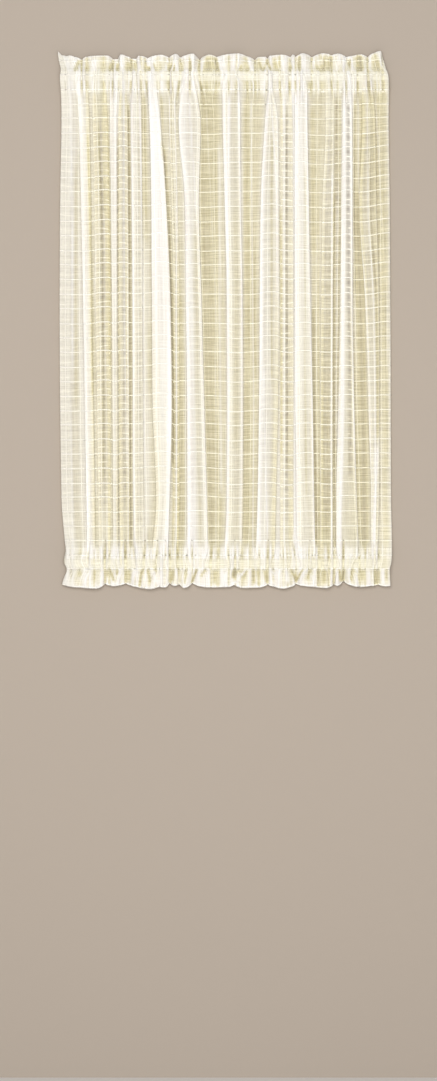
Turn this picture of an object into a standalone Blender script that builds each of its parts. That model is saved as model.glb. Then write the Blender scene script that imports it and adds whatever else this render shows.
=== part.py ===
"""Door curtain panel of sheer cloth, gathered on a flat sash rod at its top and another at its bottom.

The cloth is one sheet. Its section across the width is a row of folds, read from the table FOLDS, and
its rows run over the whole cut length: up the back of the top rod, over the top heading, down the
front, under the bottom heading and up the back of the bottom rod. Sizes are in millimetres until they
reach Blender. X runs across the door, -Y faces the room, +Z is up. The origin lies on the door's face,
level with the middle of the top rod, and the door's face is the plane Y = 0.
"""

import math
from typing import NamedTuple

import bmesh
import bpy
import numpy as np

METRES = 0.001
SHARP_ANGLE = math.radians(35)
WELD = 1e-6
CLOTH_COLOUR = (0.86, 0.83, 0.70)
ENAMEL_COLOUR = (0.86, 0.86, 0.84)

# Rods: flat bars with a return at each end that reaches the door. The low rod is fixed a little to
# one side of the top one.
ROD_LENGTH = 612.0
ROD_HEIGHT = 16.0
ROD_THICKNESS = 5.0
ROD_STANDOFF = 12.0
ROD_BEND = 6.0
ROD_BEND_STEPS = 3
ROD_EDGE = 0.8
ROD_DROP = 926.5
LOW_ROD_ASIDE = 6.0

# Cloth, and its rod pockets. A pocket's back layer is narrower, so that it passes between the returns.
CLOTH_THICKNESS = 1.0
ROD_GAP = 0.4
ROW_PAST_ROD = 2.0
POCKET_GAP = 5.8
BACK_SCALE_AT_ROD = 0.955
BACK_SCALE_AT_HEADING = 0.975
HEM_EDGE_BELOW_TOP_ROD = 25.0
HEM_EDGE_ABOVE_LOW_ROD = 27.0
HEADING_ABOVE_ROD = 8.0
HEADING_TURN = 2.9

# Side hems: width, the gap between their two layers, how round the turned edge is, and how many such
# gaps each of their columns lies inside the heading's edge, from the hem's own edge to the cloth.
SIDE_HEM = 20.0
SIDE_HEM_LAYER = 2.0
SIDE_HEM_TURN = 1.2
SIDE_HEM_INSIDE = (1.2, 1.2, 0.5, 0.0)

# Folds: how far an untucked wall leans out, the least width between a fold's two tucks, and the
# share of a fold's width at which its round front begins.
OPEN_WALL = 2.5
LEAST_BASE = 4.5
SHOULDER = 0.26

# Heights of the four levels at which a fold's edges are given: hem edge of the top pocket, shoulder,
# waist and hem edge of the bottom pocket.
LEVELS = (-25.0, -85.0, -430.0, -899.5)


class Fold(NamedTuple):
    """One fold of the cloth.

    left and right are its edges at the four LEVELS, tuck is the cloth turned under at its left and
    right edges, and rise is its share of the full depth. top_edge and low_edge say how far the two
    headings reach past their rods' middles, on the fold and in the gap after it. A slight fold has no
    round front.
    """

    name: str
    left: tuple
    right: tuple
    tuck: tuple
    rise: float
    top_edge: tuple
    low_edge: tuple
    slight: bool = False


# name, left, right, tuck, rise, top_edge, low_edge, slight
FOLDS = (
    Fold("first_ridge", (-279, -276, -268, -260), (-259, -256, -252, -245),
         (10, 7), 1.0, (33, 37), (46, 46)),
    Fold("first_panel", (-252, -251, -246, -238), (-224, -222, -216, -218),
         (11, 11), 0.4, (38, 38), (39, 41), True),
    Fold("second_ridge", (-217, -218, -214, -211), (-204, -205, -204, -203),
         (6, 6), 0.9, (33, 37), (42, 40)),
    Fold("second_panel", (-197, -202, -202, -196), (-187, -184, -181, -179),
         (7, 5), 0.4, (40, 36), (37, 41), True),
    Fold("soft_pleat", (-180, -178, -175, -172), (-158, -158, -156, -153),
         (9, 3), 0.75, (34, 35), (44, 47)),
    Fold("great_pleat", (-143, -142, -138, -132), (-127, -120, -103, -108),
         (15, 15), 1.0, (38, 37), (44, 39)),
    Fold("tulip_pleat", (-77, -87, -74, -71), (-54, -46, -43, -32),
         (9, 6), 0.9, (41, 38), (38, 44)),
    Fold("middle_pleat", (-5, -4, 4, 0), (28, 28, 33, 30),
         (11, 5), 0.85, (41, 32), (40, 45)),
    Fold("wedge_pleat", (81, 77, 67, 60), (92, 101, 103, 96),
         (7, 9), 0.8, (38, 40), (41, 45)),
    Fold("third_panel", (106, 106, 106, 106), (127, 130, 131, 131),
         (9, 9), 0.4, (38, 39), (44, 40), True),
    Fold("broad_pleat", (134, 133, 134, 138), (157, 157, 165, 172),
         (13, 6), 1.0, (42, 39), (41, 44)),
    Fold("flat_pleat", (192, 193, 184, 182), (208, 208, 206, 205),
         (6, 5), 0.6, (41, 41), (45, 40)),
    Fold("bright_pleat", (224, 224, 220, 212), (240, 242, 243, 255),
         (9, 5), 0.95, (37, 40), (36, 43)),
    Fold("last_ridge", (260, 261, 268, 277), (282, 286, 293, 291),
         (6, 4), 1.0, (38, 42), (41, 41)),
)


class Edge(NamedTuple):
    """The two side edges of the cloth at one height."""

    height: float
    left: float
    right: float


# From the top heading's edge down to the bottom heading's edge.
EDGES = (
    Edge(38.0, -318.0, 300.0),
    Edge(11.0, -311.0, 310.0),
    Edge(-25.0, -310.5, 312.0),
    Edge(-85.0, -310.5, 311.5),
    Edge(-430.0, -312.5, 315.5),
    Edge(-899.5, -302.0, 317.5),
    Edge(-914.0, -305.0, 317.5),
    Edge(-938.0, -305.0, 316.0),
    Edge(-941.0, -303.0, 314.0),
    Edge(-969.0, -309.0, 316.0),
)
TOP_CORNER_REACH = (47.0, 46.0)
LOW_CORNER_REACH = (43.0, 42.0)


class Section(NamedTuple):
    """The folds' depth from base to front at one height of the body, and the share of their tucks."""

    height: float
    depth: float
    tuck_share: float


BODY = (
    Section(-45.0, 12.0, 0.4),
    Section(-85.0, 16.0, 1.0),
    Section(-235.0, 17.3, 1.0),
    Section(-430.0, 19.0, 1.0),
    Section(-840.0, 17.0, 1.0),
    Section(-880.0, 13.0, 0.4),
)

GATHER_DEPTH = 4.4
ROD_MIDDLE = -(ROD_STANDOFF + ROD_THICKNESS / 2)
ROD_FRONT_LAYER = -(ROD_STANDOFF + ROD_THICKNESS + ROD_GAP + CLOTH_THICKNESS / 2)
ROD_BACK_LAYER = -(ROD_STANDOFF - ROD_GAP - CLOTH_THICKNESS / 2)


class Row(NamedTuple):
    """One row of the cloth, from side to side.

    height is its Z, side is -1 in front of the rods, 1 behind them and 0 at a heading's edge, base is
    the Y of the folds' base, depth and tuck_share shape the folds, and scale narrows the row. heading
    is 1 where the row follows the top heading's edge, -1 at the bottom one's and 0 elsewhere. A row
    that follows an edge has its rod's height, and the heading's reach is added to it.
    """

    height: float
    side: int
    base: float
    depth: float
    tuck_share: float = 0.0
    scale: float = 1.0
    heading: int = 0


def clear_scene():
    """Removes every object that the startup scene holds."""
    for thing in list(bpy.data.objects):
        bpy.data.objects.remove(thing)


def make_material(name, colour, roughness):
    """A plain Principled material."""
    material = bpy.data.materials.new(name)
    material.use_nodes = True
    shader = material.node_tree.nodes["Principled BSDF"]
    shader.inputs["Base Color"].default_value = (*colour, 1.0)
    shader.inputs["Roughness"].default_value = roughness
    shader.inputs["Metallic"].default_value = 0.0
    return material


def at_height(height, levels, values):
    """Reads a value off a table whose levels run from the top down."""
    return float(np.interp(-height, [-level for level in levels], values))


def side_edge(height, outwards):
    """The X of a side edge, the left one where outwards is negative."""
    sides = [edge.left if outwards < 0 else edge.right for edge in EDGES]
    return at_height(height, [edge.height for edge in EDGES], sides)


def nested_base(side):
    """The base's Y where the pocket's two layers are stitched together."""
    return ROD_MIDDLE + GATHER_DEPTH / 2 + side * POCKET_GAP / 2


def rod_base(side):
    """The base's Y where the cloth passes a rod: folds stand out from the rod on both of its sides."""
    return ROD_FRONT_LAYER if side < 0 else ROD_BACK_LAYER + GATHER_DEPTH


def pocket_rows(rod_height, up, hem_edge):
    """The rows of one pocket and its heading, from the stitched hem edge in front to the one behind.

    up is 1 where the heading stands above the rod and -1 where it hangs below it.
    """
    half = ROD_HEIGHT / 2 + ROW_PAST_ROD
    near, far = rod_height - up * half, rod_height + up * half
    heading = rod_height + up * (ROD_HEIGHT / 2 + HEADING_ABOVE_ROD)
    return [
        Row(hem_edge, -1, nested_base(-1), GATHER_DEPTH),
        Row(near, -1, rod_base(-1), GATHER_DEPTH),
        Row(far, -1, rod_base(-1), GATHER_DEPTH),
        Row(heading, -1, nested_base(-1), GATHER_DEPTH),
        Row(rod_height, -1, nested_base(-1), GATHER_DEPTH, heading=up),
        Row(rod_height, 0, nested_base(0), GATHER_DEPTH, heading=up),
        Row(rod_height, 1, nested_base(1), GATHER_DEPTH, heading=up),
        Row(heading, 1, nested_base(1), GATHER_DEPTH, scale=BACK_SCALE_AT_HEADING),
        Row(far, 1, rod_base(1), GATHER_DEPTH, scale=BACK_SCALE_AT_ROD),
        Row(near, 1, rod_base(1), GATHER_DEPTH, scale=BACK_SCALE_AT_ROD),
        Row(hem_edge, 1, nested_base(1), GATHER_DEPTH, scale=BACK_SCALE_AT_HEADING),
    ]


def cloth_rows():
    """All rows in order along the cut length, from the top pocket's hem edge to the bottom one's."""
    top = pocket_rows(0.0, 1, -HEM_EDGE_BELOW_TOP_ROD)
    low = pocket_rows(-ROD_DROP, -1, -ROD_DROP + HEM_EDGE_ABOVE_LOW_ROD)
    body = [Row(part.height, -1, ROD_MIDDLE + part.depth / 2, part.depth, part.tuck_share) for part in BODY]
    return top[::-1] + body + low


def fold_columns(fold, row):
    """The columns (x, y) of one fold in one row.

    Cloth comes in along the base, turns under the left edge, passes over the front, turns under the
    right edge and goes on along the base. With no tuck the fold's walls lean outwards.
    """
    left = drawn_in(row, at_height(row.height, LEVELS, fold.left))
    right = drawn_in(row, at_height(row.height, LEVELS, fold.right))
    width = right - left
    turn_left, turn_right = (
        row.tuck_share * min(tuck, (width - LEAST_BASE) / 2) - (1 - row.tuck_share) * OPEN_WALL
        for tuck in fold.tuck
    )
    front = row.base - row.depth * fold.rise
    middle = (row.base + front) / 2
    base_in = (left + turn_left, row.base)
    base_out = (right - turn_right, row.base)
    if fold.slight:
        return [base_in, (left, front), (right, front), base_out]
    return [
        base_in,
        (left, middle),
        (left + SHOULDER * width, front),
        (right - SHOULDER * width, front),
        (right, middle),
        base_out,
    ]


def side_hem_columns(row, outwards):
    """The columns of one side hem, from the sheet inwards to the hem's own edge.

    outwards is -1 on the left and 1 on the right. The hem's layer lies on the pocket's inner side:
    behind the front cloth and before the back cloth.
    """
    edge = side_edge(side_height(row), outwards)
    layer = -row.side * SIDE_HEM_LAYER
    cloth = row.base - SIDE_HEM_LAYER
    return [
        (edge - outwards * SIDE_HEM_TURN, cloth),
        (edge, cloth + layer / 2),
        (edge - outwards * SIDE_HEM_TURN, cloth + layer),
        (edge - outwards * SIDE_HEM, cloth + layer),
    ]


def side_height(row):
    """The height at which the side edges of a row are read."""
    return {1: EDGES[0].height, -1: EDGES[-1].height, 0: row.height}[row.heading]


def drawn_in(row, x):
    """A fold's x, drawn in or let out with the side edge where the row lies beyond the LEVELS."""
    level = min(max(row.height, LEVELS[-1]), LEVELS[0])
    return x * side_edge(side_height(row), x) / side_edge(level, x)


def heading_reach(x, up):
    """How far a heading reaches past its rod's middle at x, read between folds, gaps and corners."""
    level = 0 if up > 0 else -1
    corners = TOP_CORNER_REACH if up > 0 else LOW_CORNER_REACH
    next_lefts = [fold.left[level] for fold in FOLDS[1:]] + [EDGES[level].right]
    across, reach = [EDGES[level].left], [corners[0]]
    for fold, next_left in zip(FOLDS, next_lefts):
        across += [(fold.left[level] + fold.right[level]) / 2, (fold.right[level] + next_left) / 2]
        reach += fold.top_edge if up > 0 else fold.low_edge
    return float(np.interp(x, across + [EDGES[level].right], reach + [corners[1]]))


def row_points(row):
    """Every point of one row, from the left side hem to the right one.

    The two outermost folds end level with the side hems' outer layer, so that the hems clear them.
    """
    columns = []
    for fold in FOLDS:
        columns += fold_columns(fold, row)
    for end in (0, -1):
        columns[end] = (columns[end][0], row.base - SIDE_HEM_LAYER)
    columns = side_hem_columns(row, -1)[::-1] + columns + side_hem_columns(row, 1)
    last = len(columns) - 1
    points = []
    for index, (x, y) in enumerate(columns):
        height = row.height
        if row.heading:
            nearest = min(index, last - index, len(SIDE_HEM_INSIDE) - 1)
            inside = SIDE_HEM_LAYER * SIDE_HEM_INSIDE[nearest] * (1 - abs(row.side))
            turn = HEADING_TURN * abs(row.side)
            height += row.heading * (heading_reach(x, row.heading) - turn - inside)
        points.append((x * row.scale, y, height))
    return points


def make_cloth(collection):
    """The curtain panel: a grid laid over the rows' points, given its thickness by Solidify."""
    points = np.array([row_points(row) for row in cloth_rows()]) * METRES
    row_count, column_count = points.shape[:2]
    sheet = bmesh.new()
    bmesh.ops.create_grid(sheet, x_segments=column_count - 1, y_segments=row_count - 1, size=0.5)
    sheet.verts.ensure_lookup_table()
    for vertex, point in zip(sheet.verts, points.reshape(-1, 3)):
        vertex.co = point
    mesh = bpy.data.meshes.new("curtain_panel")
    sheet.to_mesh(mesh)
    sheet.free()
    mesh.shade_smooth()
    panel = bpy.data.objects.new("curtain_panel", mesh)
    collection.objects.link(panel)
    solidify = panel.modifiers.new("cloth thickness", "SOLIDIFY")
    solidify.thickness = CLOTH_THICKNESS * METRES
    solidify.offset = 0.0
    solidify.use_even_offset = True
    mesh.materials.append(make_material("ivory_sheer", CLOTH_COLOUR, 0.85))
    return panel


def rod_outline():
    """The rod seen from above: a long bar along X with both ends turned back to the door."""
    half, front, back = ROD_LENGTH / 2, -(ROD_STANDOFF + ROD_THICKNESS), -ROD_STANDOFF
    outer = rod_side(half, front, ROD_BEND)
    inner = rod_side(half - ROD_THICKNESS, back, ROD_BEND - ROD_THICKNESS)
    return outer + inner[::-1]


def rod_side(end, wall, radius):
    """One long side of the rod seen from above: along Y = wall, round at both ends and back to the door."""
    corner = []
    for step in range(ROD_BEND_STEPS + 1):
        angle = math.pi / 2 * step / ROD_BEND_STEPS
        x = end - radius + radius * math.sin(angle)
        y = wall + radius - radius * math.cos(angle)
        corner.append((x, y))
    side = corner + [(end, 0.0)]
    return [(-x, y) for x, y in side[::-1]] + side


def make_rod(name, aside, height, enamel, collection):
    """One sash rod: the outline extruded to the rod's height, with softened edges."""
    curve = bpy.data.curves.new(name + "_outline", "CURVE")
    curve.dimensions = "2D"
    curve.fill_mode = "BOTH"
    curve.extrude = ROD_HEIGHT / 2 * METRES
    outline = rod_outline()
    spline = curve.splines.new("POLY")
    spline.points.add(len(outline) - 1)
    for point, (x, y) in zip(spline.points, outline):
        point.co = (x * METRES, y * METRES, 0.0, 1.0)
    spline.use_cyclic_u = True
    guide = bpy.data.objects.new(name + "_outline", curve)
    collection.objects.link(guide)
    mesh = bpy.data.meshes.new_from_object(guide.evaluated_get(bpy.context.evaluated_depsgraph_get()))
    bpy.data.objects.remove(guide)
    joined = bmesh.new()
    joined.from_mesh(mesh)
    bmesh.ops.remove_doubles(joined, verts=joined.verts, dist=WELD)
    joined.to_mesh(mesh)
    joined.free()
    mesh.shade_smooth()
    mesh.set_sharp_from_angle(angle=SHARP_ANGLE)
    rod = bpy.data.objects.new(name, mesh)
    rod.location = (aside * METRES, 0.0, height * METRES)
    collection.objects.link(rod)
    edges = rod.modifiers.new("softened edges", "BEVEL")
    edges.width = ROD_EDGE * METRES
    edges.segments = 1
    edges.limit_method = "ANGLE"
    edges.angle_limit = SHARP_ANGLE
    mesh.materials.append(enamel)
    return rod


def main():
    """Builds the panel and its two rods."""
    clear_scene()
    collection = bpy.data.collections.new("door_curtain_panel")
    bpy.context.scene.collection.children.link(collection)
    make_cloth(collection)
    enamel = make_material("white_enamel", ENAMEL_COLOUR, 0.35)
    make_rod("top_rod", 0.0, 0.0, enamel, collection)
    make_rod("bottom_rod", LOW_ROD_ASIDE, -ROD_DROP, enamel, collection)


main()
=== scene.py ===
"""Looks of the door curtain panel: sheer windowpane cloth gathered on two flat sash rods.

The cloth is one surface. Its section from side to side is a smooth curve through the folds' control
points, and its rows run over the whole cut length: the turned hem, up the back of the top rod, over the
top heading, down the front, under the bottom heading, up the back of the bottom rod and the other hem.
The thick cords of the windowpane check and the sewing stitches are laid on that surface as fine meshes
of their own. Sizes are in millimetres until a mesh is made. X runs across the door, -Y faces the room
and +Z is up. The origin lies on the door's face, level with the middle of the top rod.
"""

import logging
import math
from dataclasses import dataclass
from enum import Enum
from typing import NamedTuple

import bpy
import numpy as np
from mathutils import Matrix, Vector


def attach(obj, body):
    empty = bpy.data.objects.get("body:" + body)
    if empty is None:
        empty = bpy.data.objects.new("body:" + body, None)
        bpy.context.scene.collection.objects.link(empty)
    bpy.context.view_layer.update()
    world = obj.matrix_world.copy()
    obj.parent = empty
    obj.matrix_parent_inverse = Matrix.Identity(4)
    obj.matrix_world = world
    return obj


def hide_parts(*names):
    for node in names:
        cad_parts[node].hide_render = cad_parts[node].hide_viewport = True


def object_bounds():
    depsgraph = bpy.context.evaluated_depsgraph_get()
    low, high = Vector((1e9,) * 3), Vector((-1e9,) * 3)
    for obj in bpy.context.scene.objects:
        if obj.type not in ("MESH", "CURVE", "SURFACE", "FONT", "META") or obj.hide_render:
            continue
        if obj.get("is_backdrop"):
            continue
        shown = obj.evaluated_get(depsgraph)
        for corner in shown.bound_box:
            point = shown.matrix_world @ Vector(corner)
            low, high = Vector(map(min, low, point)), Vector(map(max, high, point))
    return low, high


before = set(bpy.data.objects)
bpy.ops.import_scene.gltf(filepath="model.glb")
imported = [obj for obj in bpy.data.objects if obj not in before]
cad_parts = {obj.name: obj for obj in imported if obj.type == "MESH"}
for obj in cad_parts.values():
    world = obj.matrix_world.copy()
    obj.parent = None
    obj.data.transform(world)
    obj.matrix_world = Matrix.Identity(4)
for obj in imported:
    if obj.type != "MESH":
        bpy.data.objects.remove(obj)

Array = np.ndarray
Node, Socket = bpy.types.Node, bpy.types.NodeSocket
Object, Material = bpy.types.Object, bpy.types.Material

LOG = logging.getLogger("door_curtain_panel")
METRES = 0.001
BODY = "root"
CLOTH_NODE = "curtain_panel"
ROD_NODES = ("top_rod", "bottom_rod")
SEED = 41
CORD_PITCH = 27.66
FRONT_LIMIT = -0.99


class Layer(float, Enum):
    """Which side of a pocket a row of the cloth lies on."""

    FRONT = -1.0
    TURN = 0.0
    BACK = 1.0


class Course(Enum):
    """The two ways a windowpane cord runs through the cloth."""

    WEFT = "weft_cords"
    WARP = "warp_cords"


# --- the cloth's tables ---------------------------------------------------------------------------

LEVELS = (-25.0, -85.0, -235.0, -430.0, -615.0, -805.0, -899.5)


class Fold(NamedTuple):
    """One fold of the cloth, and the flat cloth to its right.

    left and right are its edges at the seven LEVELS. tuck is the cloth turned under at the two edges,
    rise its share of the full depth, lean how far its crest stands to the right of its middle as a
    share of its width. sag is how far its front hangs below the flat cloth beside it and how far its
    hidden layers do, and veil how much clearer than the plain cloth its front is. tone is how white its
    four quarters are at the top and foot how white they are at the bottom: 1 is white, 0 the plain
    ground and -1 painted shade. The white stands partly for the layers stacked in a fold and partly
    for painted light on it. gap is the same for the flat cloth to its right, at the top and the bottom,
    and after that cloth's soft waves, each a share of the gap and a rise. The last fold has neither.
    A raised gap tone paints light over the shade between close folds.
    """

    name: str
    left: tuple
    right: tuple
    tuck: tuple
    rise: float
    lean: float
    sag: tuple
    veil: float
    tone: tuple
    foot: tuple
    gap: tuple = ()
    after: tuple = ()


FOLDS = (
    Fold("first_ridge", (-279, -276, -272, -268, -265, -261.5, -260),
         (-259, -256.5, -254, -252, -249, -246, -245), (10, 7), 0.85, -0.1, (1.5, 3.0), 0.00,
         (0.95, 0.85, 0.45, 0.15), (0.95, 0.8, 0.45, 0.1), (0.6, 0.3), ((0.5, 4.5),)),
    Fold("first_panel", (-252, -251, -248, -246, -243, -240.5, -238.5),
         (-224, -221.5, -218.5, -216, -216, -216, -217), (12.5, 12.5), 0.4, 0.0, (-1.0, 5.0), 0.28,
         (0.35, 0.25, 0.1, 0.1), (0.4, 0.4, 0.2, 0.0), (0.5, 0.35), ((0.5, 4.5),)),
    Fold("second_ridge", (-217, -218, -215.5, -214, -213, -212, -211.5),
         (-203, -205, -204.5, -204, -203.5, -202.5, -202.5), (6, 6), 0.75, 0.0, (2.0, 3.5), 0.00,
         (0.7, 0.8, 0.95, 0.8), (0.4, 0.65, 0.4, 0.2), (0.9, 1.0), ((0.5, 4.0),)),
    Fold("second_panel", (-198, -202, -202, -202, -201, -200, -198),
         (-187, -184, -183, -182, -181.5, -180.5, -179.5), (8, 7), 0.4, 0.0, (-1.5, 5.5), 0.22,
         (0.2, 0.5, 0.4, 0.1), (0.2, 0.3, 0.2, 0.2), (0.4, 0.1), ((0.5, 3.0),)),
    Fold("soft_pleat", (-180, -178, -176.5, -175, -174, -173, -172),
         (-158, -158, -157, -156, -155, -154, -153), (9, 3), 0.75, -0.15, (1.2, 2.5), 0.08,
         (1.0, 0.7, 0.4, 0.5), (1.0, 0.4, 0.4, 0.3), (0.0, 0.4), ((0.4, 1.5),)),
    Fold("great_pleat", (-146, -142.5, -139.5, -138, -137, -130, -137),
         (-129, -122, -111, -102.5, -100, -104, -107), (15, 15), 1.0, 0.15, (-2.0, 2.0), 0.00,
         (1.1, 1.1, 1.0, 0.75), (0.2, 0.65, 0.9, 1.0), (0.3, 0.5), ((0.5, 1.5),)),
    Fold("light_strip", (-105.5, -105, -101, -97, -97, -98, -99),
         (-92, -93.5, -89, -86, -86, -86, -88), (5, 5), 0.35, 0.0, (2.5, 5.5), 0.10,
         (0.4, 0.3, 0.4, 0.4), (-0.2, 0.35, 0.0, -0.2), (0.3, 0.05), ((0.5, 1.5),)),
    Fold("tulip_pleat", (-82, -87, -76, -73.5, -71.5, -71, -71),
         (-54, -45, -49, -43.5, -38.5, -33.5, -31), (9, 6), 0.9, -0.1, (-1.8, 2.5), 0.06,
         (1.0, 0.8, 0.5, 0.7), (1.2, 0.9, 0.4, 0.8), (-0.1, 0.0),
         ((0.2, 1.5), (0.45, -1.0), (0.75, 0.8))),
    Fold("middle_pleat", (-5, -4, 0, 4, 5, 4, 0),
         (30, 30, 31, 34.5, 35.5, 35, 32), (11, 5), 0.85, -0.12, (1.6, 3.0), 0.06,
         (1.1, 0.6, 0.3, 0.7), (0.8, 0.4, 0.35, 0.2), (0.15, 0.1),
         ((0.25, -1.0), (0.6, 1.2), (0.85, -0.5))),
    Fold("wedge_pleat", (82, 77, 68.5, 66.5, 65.5, 62.5, 60),
         (92, 101.5, 103, 103.5, 102, 98, 96), (7, 9), 0.8, 0.1, (-1.4, 3.0), 0.08,
         (1.1, 0.5, 0.6, 0.7), (0.75, 0.65, 0.25, 0.1), (0.7, 0.9), ((0.5, 4.5),)),
    Fold("third_panel", (106, 106, 106, 106, 106, 106, 106),
         (127, 130, 130.5, 131, 131, 131, 131), (11, 11), 0.45, 0.0, (1.8, 5.5), 0.28,
         (0.25, 0.7, 0.4, 0.5), (0.3, 0.4, 0.15, 0.3), (1.1, 1.1), ((0.5, 5.0),)),
    Fold("broad_pleat", (134, 133, 133, 133.5, 134, 136, 137.5),
         (157, 157.5, 160, 163.5, 167.5, 170, 172), (13, 6), 1.0, -0.1, (-1.6, 2.0), 0.00,
         (1.05, 0.85, 0.75, 0.75), (0.8, 0.55, 0.45, 0.5), (0.05, -0.05), ((0.5, -1.0),)),
    Fold("flat_pleat", (192, 192, 186, 183.5, 182, 182, 182),
         (208, 208, 208, 206, 206, 205.5, 205), (6, 5), 0.6, 0.1, (2.0, 5.0), 0.14,
         (0.4, 0.4, 0.3, 0.3), (-0.15, -0.1, -0.05, 0.2), (0.45, 0.15), ((0.5, 1.5),)),
    Fold("bright_pleat", (224, 223.5, 221.5, 219.5, 216, 212, 211.5),
         (240, 242, 243, 243.5, 246, 251, 255), (9, 5), 0.95, -0.15, (-2.2, 3.0), 0.04,
         (0.35, 0.65, 0.85, 0.95), (0.75, 0.4, 0.2, 0.1), (0.15, -0.15), ((0.5, 1.0),)),
    Fold("last_ridge", (260, 261.5, 256, 267, 272.5, 278, 278),
         (282, 286, 288, 293, 294, 293, 291), (6, 4), 0.9, 0.1, (1.5, 3.0), 0.10,
         (-0.1, 0.2, -0.2, 0.1), (0.5, 0.5, 0.2, 0.4)),
)

STREAK_LEVELS = (-50.0, -250.0, -450.0, -650.0, -850.0)


class Streak(NamedTuple):
    """One long line down the body: a soft ridge that shows white, or a groove that shows dark.

    across is its X at the five STREAK_LEVELS, width its half width, tone how much whiter it makes the
    cloth as painted light on the ridge, or below 0 how much darker as painted shade in the groove, top
    and foot the heights it runs between and veil how much clearer it is.
    """

    across: tuple
    width: float
    tone: float
    top: float = -40.0
    foot: float = -890.0
    veil: float = 0.0


# Each row is the five places across, and then the other fields.
STREAKS = tuple(Streak(row[:5], *row[5:]) for row in (
    (-293, -290, -289, -291, -289, 1.4, 0.45), (-286, -284, -283, -281, -279, 2.2, -0.45, -150, -620),
    (-283, -280, -279, -275, -272, 1.1, 0.45, -150), (-280, -275, -271, -268, -265, 3, -0.35),
    (-262, -255.5, -251.5, -250, -248, 1.6, -0.75, -110, -600),
    (-244, -243, -247, -245, -244, 1.4, 0.3, -300, -800),
    (-242, -234, -231, -230, -230, 1.6, -0.7, -100, -760), (-240, -229, -228, -224, -223, 1.2, 0.5, -260),
    (-221, -219, -218, -216, -216, 1.8, -0.5, -60, -560),
    (-203, -203, -202, -201, -201, 1.8, -0.6, -120, -890, 0.2),
    (-191, -191, -190, -187, -184, 1.5, 0.45, -40, -740), (-186, -184, -183.5, -183, -183, 1.1, 0.6, -60),
    (-183, -181, -179.5, -178.5, -178, 2.1, -1.5, -60), (-177, -175.5, -173, -174.5, -172.5, 1.8, 0.6),
    (-161.5, -157, -154, -152.5, -152.5, 1.5, 0.55), (-154, -151, -148, -146, -147, 3.4, -0.4, -40, -260),
    (-150, -148, -146, -144, -144, 3, -0.35, -860, -900),
    (-147, -144, -143, -143, -143, 3.6, -0.3, -470, -600), (-152, -149, -148, -147, -148, 6, 0.3, -320),
    (-120, -108, -100, -97, -101, 1.9, -1.5, -140, -740),
    (-119.5, -117, -117, -117, -117, 1.6, -0.8, -40, -150),
    (-104.5, -104, -100, -100, -104, 1.2, 0.6, -40, -150), (-95, -90.5, -92, -91, -91.5, 1.2, 0.55),
    (-85, -84, -83, -82, -81, 4, -0.25, -420), (-67, -56, -56, -54, -50, 1.4, 0.4, -50, -260),
    (-64, -57, -54, -52, -48, 5, -0.3, -300), (-43, -41, -38, -33, -27, 4, -0.4),
    (-35, -25, -17.5, -17, -16.5, 1.3, 0.45, -60), (-30, -32, -29, -26, -24, 6, -0.2, -280),
    (-12, -9.5, -9, -7.5, -6, 3, 0.55, -130, -790), (9, 6, 6.5, 7, 5, 2.6, 0.5),
    (21, 20, 22, 22, 20, 5, -0.25, -250, -700), (27, 32, 33, 33, 31, 2.6, 0.45),
    (42, 42, 44, 43, 42, 5, -0.3), (50.5, 52, 54, 55.5, 54, 1.2, 0.6),
    (54, 57, 57.5, 59, 58, 1.3, -0.5, -330, -560), (83, 72.5, 71, 70, 66, 2.2, 0.5),
    (92, 89.5, 89.5, 90, 91, 1.6, -0.6, -120, -580), (89, 99, 100, 100, 98, 1.6, 0.4, -50, -420),
    (88, 80, 76, 76, 81, 1.2, 0.55, -560, -870), (107, 107, 108, 108, 108, 1.5, -0.6, -260, -720),
    (113, 113, 113, 113, 113, 1.4, 0.6), (118, 118, 118.5, 119, 119, 1.8, -0.5, -60, -740, 0.1),
    (152, 153, 153, 154, 155, 1.5, -0.45, -180, -800), (155.5, 160.5, 164.5, 167, 171, 1.6, 0.6),
    (162, 166, 169, 171, 175, 2.2, -0.9, -450), (167, 168, 172, 174, 174, 4, -0.35, -60, -330),
    (183, 177, 175.5, 177, 178, 1.1, 0.5, -300, -760), (192, 183.5, 182, 182, 183, 1.2, 0.5, -60),
    (206, 204, 204, 202.5, 203.5, 1.6, 0.8, -180), (208, 208.5, 208, 208.5, 210, 1.9, -1.1, -230),
    (213, 213, 213, 212, 211, 2.2, -0.6, -40, -240, 0.2),
    (215, 215, 214, 212, 211, 4, 0.15, -200, -700, 0.12),
    (218.5, 218, 217.5, 215, 212, 1.8, -0.6, -40, -600), (227, 226, 225, 223.5, 219, 3.2, 0.8),
    (235, 235, 235.5, 236, 236, 3.6, 0, -50, -440, 0.32),
    (236, 236, 236.5, 238, 238, 3.4, -0.2, -440, -760, 0.2), (242, 242.5, 245, 246.5, 254, 1.8, 0.9),
    (247.5, 247, 249, 252, 258, 1.6, -1.2, -50, -420), (255, 253.5, 259, 264, 266, 4.2, -0.6, -230),
    (254, 256, 270, 276, 277, 1.3, 0.5, -40, -760), (271, 273, 284, 286, 282, 1.3, 0.5, -40, -760),
    (275, 277, 289.5, 291, 288, 1.6, -0.6, -60, -700),
    (287.5, 298, 308.5, 309.5, 309, 1.4, 0.55, -40, -560),
    (296, 303, 306, 309, 308, 1.8, -0.5, -300, -740), (300, 295, 295, 292, 284, 2.6, 0.8, -690),
))

# Height, and X of the left and the right edge of the cloth there, from the bottom upwards.
EDGES = np.array((
    (-966, -310, 316), (-952, -305, 314.5), (-938, -299.5, 314), (-922, -305.5, 317), (-900, -302, 318),
    (-880, -304, 318), (-800, -310, 316.5), (-430, -313.5, 315.5), (-235, -312.5, 314), (-72, -310, 312),
    (-26, -311, 312.5), (-4, -312.5, 312), (12, -311, 307), (30, -315, 302), (42, -318, 299),
))

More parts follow.
